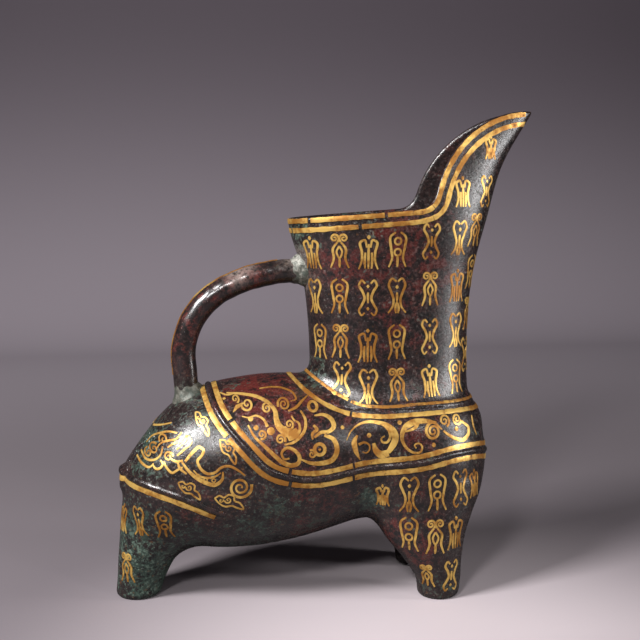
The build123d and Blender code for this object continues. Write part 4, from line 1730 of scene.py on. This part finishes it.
@dataclass
class Ornaments:
    """Gold inlay ornaments on both sides: scrolls, a running beast, clouds and small upright motifs.

    A neck column is its X at the top and at the foot, then the heights of its motifs. A place is X, Z and
    the scale of its motif.
    """

    vessel: Vessel
    ribbons: Ribbons
    neck_columns: Sequence[tuple[float, float, Sequence[float]]] = (
        (-10.0, -2.5, (187.5, 163.5, 139.5)), (3.6, 5.4, (188.6, 164.4, 140.6, 119.8)),
        (18.6, 18.6, (188.0, 163.6, 138.6, 116.4)), (34.3, 34.3, (189.0, 164.4, 140.0, 117.4)),
        (53.2, 53.2, (193.0, 168.0, 142.0, 118.6)), (70.0, 69.6, (194.4, 169.2, 144.2, 119.2)),
        (80.6, 76.6, (199.0, 176.0, 153.0, 130.0)))
    neck_heights: Point = (116.0, 190.0)
    neck_scale: float = 0.94
    spout_places: Sequence[Place] = ((71.6, 219.6, 0.86), (87.0, 219.6, 0.84), (89.0, 243.4, 0.66))
    leg_places: Sequence[Place] = (
        (25.0, 60.0, 0.66), (38.4, 60.4, 0.98), (38.6, 38.6, 0.98), (49.4, 14.6, 0.72), (53.6, 61.2, 1.0),
        (52.6, 37.4, 0.98), (67.6, 61.6, 0.98), (64.6, 38.4, 0.94), (62.6, 14.0, 0.86), (77.4, 62.6, 0.8))
    rear_places: Sequence[Place] = (
        (-111.0, 46.0, 0.8), (-102.4, 47.0, 0.84), (-89.4, 47.0, 0.9), (-109.8, 19.0, 0.86))

    def belt(self) -> list[Stroke]:
        """Comma scrolls on the belt over the front legs.

        Returns:
            Strokes drawn in X and Z.
        """
        return [
            Stroke(((5.0, 90.5), (7.2, 94.2), (11.6, 97.6), (17, 99.2), (22.4, 98.8), (27, 97.2),
                    (30.1, 94.2), (30.8, 90), (28.9, 86), (27, 83.5)),
                    (0.2, 0.35, 0.5, 0.7, 0.9, 1.2, 1.6, 1.8, 1.7, 1.2)),
            Stroke(((20.7, 99.2), (25.1, 97.6), (27.8, 94.5), (28, 90.8), (26.4, 88.5), (24.1, 88.9),
                    (23.8, 91), (25.4, 92)), (0.5, 0.7, 0.8, 0.8, 0.7, 0.6, 0.5, 0.4)),
            Stroke(((11, 92.6), (9.2, 89.6), (9.5, 85.9), (12, 80.1)), (0.5, 1.6, 1.2, 0.2)),
            Stroke(((11.5, 87.9), (14.8, 88.8), (17.3, 87.2), (17.2, 84.7), (15.4, 83.4), (13.5, 84.1)),
                   (0.7, 0.6, 0.5, 0.4, 0.35, 0.3)),
            Stroke(((19.7, 88.2), (20.7, 84.5), (23.2, 82.3), (27.3, 83.1)), (0.8, 1.6, 2.0, 1.8)),
            Stroke(((56.9, 93.9), (52.5, 97.6), (46.2, 98.8), (40.3, 98.2), (35.9, 95.8), (34.4, 92.6),
                    (35.1, 88.1), (38, 84.4), (41.3, 82.9), (44.3, 83.5), (45.1, 86), (43, 87.8), (41, 86.7),
                    (41.9, 85.3)),
                   (0.4, 0.7, 1.0, 1.4, 1.7, 1.7, 1.3, 1.0, 0.8, 0.65, 0.6, 0.5, 0.45, 0.4)),
            Stroke(((43.8, 98.6), (42, 96.0), (39.1, 94.8), (35.7, 94)), (1.1, 0.9, 0.6, 0.3)),
            curl(51.7, 93.4, 4.6, 2.1, 60, 0.8),
            Stroke(((57.7, 93.1), (61, 90.5), (65.4, 88.1), (70.2, 87), (73.5, 89), (74, 92.7), (71.7, 94.9),
                    (68.6, 97.2)), (0.55, 0.75, 0.9, 1.0, 1.2, 1.0, 0.8, 0.5)),
            curl(58.9, 98.0, 3.1, 1.7, 290, 0.62), curl(66.9, 98.0, 2.9, -1.7, 330, 0.62),
            Stroke(((77.6, 98.0), (77.7, 93.4), (80, 87.4)), (0.4, 0.7, 0.3)),
            dot(17.2, 92.5, 1.25), dot(33.6, 98.6, 1.2), dot(51.7, 86.4, 1.2), dot(65.9, 93.2, 1.2),
            dot(3.3, 96.8, 1.1),
        ]

    def saddle(self) -> list[Stroke]:
        """Winged dragon scroll on the saddle behind the neck.

        Returns:
            Strokes drawn in X and Z.
        """
        return [
            Stroke(((-55.7, 113.4), (-46.3, 113.0), (-40.1, 112.0), (-34.5, 109.3), (-31.4, 105.5),
                    (-31.1, 101.7), (-30, 98.6), (-27.4, 96.3), (-23.9, 94.9), (-20.6, 96.8)),
                   (0.5, 0.9, 1.0, 1.1, 1.0, 1.0, 1.3, 1.9, 2.3, 1.2)),
            Stroke(((-23.2, 103.3), (-21.8, 101.1), (-19.8, 100), (-19.3, 97.1), (-21.6, 93.9),
                    (-25.6, 92.2)),
                   (0.4, 0.5, 0.6, 0.9, 1.3, 0.9)),
            Stroke(((-18.1, 105.5), (-16.1, 101.6), (-16.6, 97), (-19.6, 93.1), (-23.7, 90.5), (-27.7, 89.8)),
                   (0.5, 0.7, 0.8, 0.8, 0.7, 0.5)),
            curl(-24.6, 99.4, 2.6, 1.6, 200, 0.62), curl(-29.6, 92.3, 2.6, 1.6, 330, 0.62),
            curl(-35.6, 107.0, 2.5, 1.6, 40, 0.58), curl(-26.6, 108.6, 3.2, -1.9, 200, 0.62),
            curl(-45.6, 108.8, 3.1, 1.5, 190, 0.62), curl(-13.6, 84.6, 2.2, -1.5, 120, 0.58),
            curl(-39.0, 95.0, 2.4, 1.5, 250, 0.58), curl(-51.5, 111.0, 2.0, 1.4, 300, 0.5),
            Stroke(((-53, 105.3), (-50.5, 107.8), (-47.4, 109.3)), (0.2, 1.3, 0.4)),
            Stroke(((-48.7, 103.4), (-45.4, 102.8), (-41.4, 103.7), (-37.6, 101.8), (-35.9, 98.5)),
                   (0.3, 0.45, 0.55, 0.6, 0.8)),
            dot(-44.3, 102.2, 1.4), dot(-41.8, 98.1, 1.4), dot(-34.3, 96.4, 2.1), dot(-57.2, 111.0, 0.9),
            ring(-11.4, 107.2, 2.2, 0.8), ring(-9.5, 86.8, 2.7, 0.9), dot(-9.5, 86.8, 0.8),
            Stroke(((-11.1, 103), (-6.2, 103.2), (-2.1, 100.7), (-1.3, 97.6), (-4.2, 95.3), (-8.3, 95),
                    (-12, 92.8)),
                   (0.4, 0.9, 1.25, 1.25, 1.0, 0.9, 0.6)),
            Stroke(((-12, 98.6), (-10.4, 96.6), (-13, 94.3), (-12.9, 91.8)), (0.6, 0.9, 0.8, 0.4)),
            Stroke(((-6.7, 93.7), (-1.9, 91.3), (-0.4, 85.9), (-2.9, 81.4), (-8.1, 79.9), (-14.5, 80.2),
                    (-19.3, 82.2)),
                   (0.8, 1.2, 1.3, 1.3, 1.2, 0.9, 0.4)),
            Stroke(((-45.8, 99.4), (-43, 94.2), (-38, 89.4), (-33, 84.6), (-28.8, 81.0), (-24.6, 79.4),
                    (-20.9, 80.4), (-20.1, 83), (-22.7, 86.9), (-26.6, 88.2), (-29.3, 85.8), (-28, 82.7),
                    (-25.4, 83)),
                   (0.4, 0.6, 0.75, 0.9, 1.0, 1.1, 1.2, 1.1, 1.0, 0.9, 0.75, 0.6, 0.45)),
            Stroke(((-24.6, 105.5), (-20.4, 107), (-16.2, 110.2), (-13.3, 112.0)), (0.5, 0.8, 0.7, 0.3)),
            Stroke(((-38.3, 115.4), (-31.2, 116.0), (-24.9, 115.2), (-20.6, 113.0), (-19.8, 110.7),
                    (-22.8, 109.8)),
                   (0.4, 0.6, 0.7, 0.7, 0.5, 0.35)),
            Stroke(((-59.1, 113.4), (-56.0, 112.6), (-50, 113.6)), (0.4, 0.6, 0.3)),
        ]

    def rump(self) -> list[Stroke]:
        """Running beast with a curled mane, a spotted flank and a coiled tail, among clouds.

        Returns:
            Strokes drawn in X and Z.
        """
        even = (0.48, 0.66, 0.62, 0.44)
        return [
            Stroke(((-79.6, 95.3), (-82.8, 92), (-86.7, 90.8), (-90.6, 88.9), (-93, 85.8)), even),
            Stroke(((-100.7, 83.4), (-98.8, 80.9), (-93.9, 81.1), (-90.3, 84.4), (-89.5, 87.8)), even),
            Stroke(((-97.9, 87.4), (-95, 90.8), (-90.5, 93.4), (-85.8, 94.9), (-81.9, 94.8)), even),
            Stroke(((-101.2, 87.6), (-98.4, 91.4), (-93.6, 95.0), (-88.6, 97.2), (-84.6, 98.8)), even),
            Stroke(((-103.0, 80.6), (-100.2, 78.2), (-96.4, 77.4), (-94.2, 79.4)), even),
            Stroke(((-87.0, 87.8), (-83.4, 90.2), (-79.2, 91.6), (-77.2, 94.6)), even),
            curl(-94.0, 86.0, 2.7, 1.5, 60, 0.6), curl(-89.0, 91.2, 2.4, -1.4, 220, 0.56),
            curl(-97.0, 83.6, 2.1, 1.4, 100, 0.56), curl(-86.6, 83.6, 2.4, 1.5, 10, 0.56),
            Stroke(((-82.2, 84.5), (-78.2, 88), (-75.1, 91.4), (-76.4, 93.6), (-78.4, 91.0), (-82.4, 87.4)),
                   even),
            Stroke(((-78.4, 81.8), (-74, 86.7), (-70.9, 89), (-68.9, 87.6), (-69.9, 85), (-72, 82.6),
                    (-70.8, 79), (-67, 76.1), (-63.1, 76.9), (-60.4, 79.1), (-56.5, 79.9), (-51.9, 77.8),
                    (-48.1, 74.8)),
                   (0.6, 0.8, 0.85, 0.7, 0.7, 0.7, 0.75, 0.7, 0.6, 0.65, 0.65, 0.55, 0.4)),
            Stroke(((-79.9, 81.7), (-77.3, 78.1), (-73.2, 74.3), (-68.6, 71.7), (-63.2, 70.5), (-59.7, 73.5),
                    (-59.4, 77.1)), (0.5, 0.75, 0.95, 1.05, 1.05, 0.8, 0.4)),
            Stroke(((-74.2, 77.8), (-71.6, 75.1), (-67, 74), (-62.4, 75.2), (-60.4, 76.6)),
                   (0.3, 0.5, 0.6, 0.5, 0.3)),
            ring(-72.0, 74.9, 0.9, 0.3), ring(-68.2, 72.9, 0.9, 0.3), ring(-64.1, 72.7, 0.9, 0.3),
            Stroke(((-89.2, 80.9), (-87.3, 77.9), (-85, 76), (-82.3, 77.5), (-79.6, 79.1)), even),
            Stroke(((-94.6, 78.6), (-93.2, 77.2), (-90.8, 77.9), (-89.6, 80.2), (-90.8, 81.4)), even),
            Stroke(((-82.2, 81.6), (-81.1, 78.7), (-77.7, 75.8)), even),
            Stroke(((-85.4, 82.6), (-82.4, 81.6), (-79.5, 82.4)), even),
            curl(-50.7, 68.7, 6.0, -2.1, 15, 0.72),
            *cloud(-68.9, 100.0, 11.5, -52.0), *cloud(-56.3, 87.3, 13.5, -50.0),
            *cloud(-76.3, 67.6, 13.5, -30.0), *cloud(-56.3, 60.8, 15.5, -16.0),
        ]

    def places(self, spots: Sequence[Place], side: Side) -> list[tuple[Array, float]]:
        """Points of the skin for ornaments given in the side view, each with its scale."""
        found = from_side(self.vessel.skin, np.array([spot[:2] for spot in spots]), side)
        return [(at, spot[2]) for at, spot in zip(found, spots) if not np.isnan(at[0])]

    def motifs(self, spots: Sequence[Place], side: Side) -> list[Line]:
        """Lines of one upright motif at each place, in turn.

        Args:
            spots: Places in the side view.
            side: Side of the vessel.

        Returns:
            Lines for a sweep.
        """
        draw = Drawing(self.vessel.skin)
        kinds = list(Motif)
        lines = []
        for number, (at, scale) in enumerate(self.places(spots, side)):
            kind = kinds[(number * 2 + number // 4) % len(kinds)]
            lines += draw.placed([s.moved((0.0, 0.0), scale) for s in kind.strokes()], at)
        return lines

    def build(self) -> None:
        """Lay every ornament on both sides."""
        draw = Drawing(self.vessel.skin)
        columns = [(float(np.interp(z, self.neck_heights, (low, top))), z, self.neck_scale)
                   for top, low, heights in self.neck_columns for z in heights]
        columns += self.spout_places
        for side in Side:
            name = side.name.lower()
            for label, strokes in (("belt_scrolls", self.belt()), ("saddle_scrolls", self.saddle()),
                                   ("rump_beast", self.rump())):
                self.ribbons.sweep(f"{label}_{name}", draw.dropped(strokes, side))
            for label, spots in (("neck_motifs", columns), ("front_leg_motifs", self.leg_places),
                                 ("rear_leg_motifs", self.rear_places)):
                self.ribbons.sweep(f"{label}_{name}", self.motifs(spots, side))


@dataclass
class Studio:
    """Camera, paper sweep and soft lights.

    A lamp is its name, place, target, size and power in watts.
    """

    camera_at: Row = (-88.4, -539.7, 211.6)
    look_at: Row = (-2.9, 0.0, 149.35)
    lens: float = 56.25
    sensor: float = 36.0
    # Paper colours with painted light: painted shade along the front, a painted pool of light, painted shadow
    # round and behind the vessel, a paler painted horizon and painted falloff up the backdrop.
    floor_front_painted_shade: Colour = (0.40, 0.345, 0.365)
    floor_painted_light_pool: Colour = (0.53, 0.46, 0.483)
    floor_far_painted_shadow: Colour = (0.150, 0.128, 0.140)
    painted_lit_horizon: Colour = (0.52, 0.451, 0.507)
    backdrop_painted_falloff: Colour = (0.155, 0.126, 0.151)
    room_tone: Colour = (0.032, 0.030, 0.032)
    sweep_half: float = 2600.0
    sweep_front: float = -2600.0
    sweep_back: float = 900.0
    sweep_radius: float = 500.0
    sweep_top: float = 1800.0
    lamps: Sequence[tuple[str, Row, Row, Point, float]] = (
        ("key", (-700, -360, 740), (0, 0, 110), (240, 240), 17.0),
        ("strip", (850, -270, 300), (60, 0, 180), (130, 480), 4.4),
        ("gleam", (-330, -700, 620), (-30, 0, 110), (110, 110), 3.9),
        ("glance", (480, -720, 560), (40, 0, 120), (100, 100), 1.2),
    )

    def sweep(self) -> bpy.types.Object:
        """Floor that curves up into a backdrop.

        Returns:
            The floor with its backdrop.
        """
        turns = np.linspace(0.0, math.pi / 2, 24)
        line = [(self.sweep_front, 0.0)]
        line += [(self.sweep_back + self.sweep_radius * math.sin(t), self.sweep_radius * (1 - math.cos(t)))
                 for t in turns]
        line.append((self.sweep_back + self.sweep_radius, self.sweep_top))
        spots = np.array([(side * self.sweep_half, y, z) for y, z in line for side in (-1, 1)])
        faces = np.array([(2 * n, 2 * n + 1, 2 * n + 3, 2 * n + 2) for n in range(len(line) - 1)])
        paper = PaperFinish("studio_paper", self.floor_front_painted_shade, self.floor_painted_light_pool, self.floor_far_painted_shadow, self.painted_lit_horizon,
                            self.backdrop_painted_falloff)
        made = plain_object("paper_sweep", spots, faces, paper.material())
        made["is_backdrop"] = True
        return made

    def aim(self, made: bpy.types.Object, place: Row, target: Row) -> None:
        """Set an object at a place and turn it towards a target.

        Args:
            made: The lamp or camera.
            place: Place in millimetres.
            target: Point it looks at in millimetres.
        """
        made.location = Vector(place) * MM
        made.rotation_euler = (Vector(target) - Vector(place)).to_track_quat("-Z", "Y").to_euler()
        bpy.context.scene.collection.objects.link(made)

    def build(self) -> None:
        """Make the sweep, the lamps and the camera."""
        self.sweep()
        for name, place, target, size, power in self.lamps:
            lamp = bpy.data.lights.new(name, "AREA")
            lamp.shape = "RECTANGLE"
            lamp.size, lamp.size_y = size[0] * MM, size[1] * MM
            lamp.energy = power
            self.aim(bpy.data.objects.new(name, lamp), place, target)
        lens = bpy.data.cameras.new("camera")
        lens.lens = self.lens
        lens.sensor_width = self.sensor
        camera = bpy.data.objects.new("camera", lens)
        self.aim(camera, self.camera_at, self.look_at)
        scene = bpy.context.scene
        scene.camera = camera
        scene.view_settings.view_transform = "Standard"
        world = bpy.data.worlds.new("soft_room")
        world.use_nodes = True
        world.node_tree.nodes["Background"].inputs["Color"].default_value = (*self.room_tone, 1.0)
        scene.world = world


def main() -> None:
    """Build the vessel piece by piece round the CAD frame."""
    logging.basicConfig(level=logging.INFO, format="%(message)s")
    for left_over in list(bpy.data.objects):
        bpy.data.objects.remove(left_over)
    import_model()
    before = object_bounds()
    bronze = BronzeFinish().material()
    gold = GoldFinish().material()
    solder = SolderFinish().material()
    vessel = Vessel()
    room = np.array(before) + np.array([[ROOM_INSET], [-ROOM_INSET]])
    castings = Castings(vessel, bronze, room)
    castings.build()
    handled = BronzeFinish("handled_bronze", roughness=0.24, unevenness=0.16, relief=0.06, patina=0.35)
    handle = Handle(vessel, handled.material(), solder)
    handle.build()
    tree = RibbonTree()
    strips = Ribbons(tree, gold, room, thickness=0.75, sink=0.45, profile_points=5)
    ribs = Ribbons(tree, bronze, room, Slot.BRONZE, thickness=1.2, sink=0.9, crown=0.55, profile_points=7)
    tired = replace(strips, finish=GoldFinish("tired_gold", wear=0.09).material())
    GoldStrips(vessel, castings, handle, strips, tired, ribs).build()
    Ornaments(vessel, Ribbons(tree, gold, room)).build()
    Studio().build()


if __name__ == "__main__":
    main()
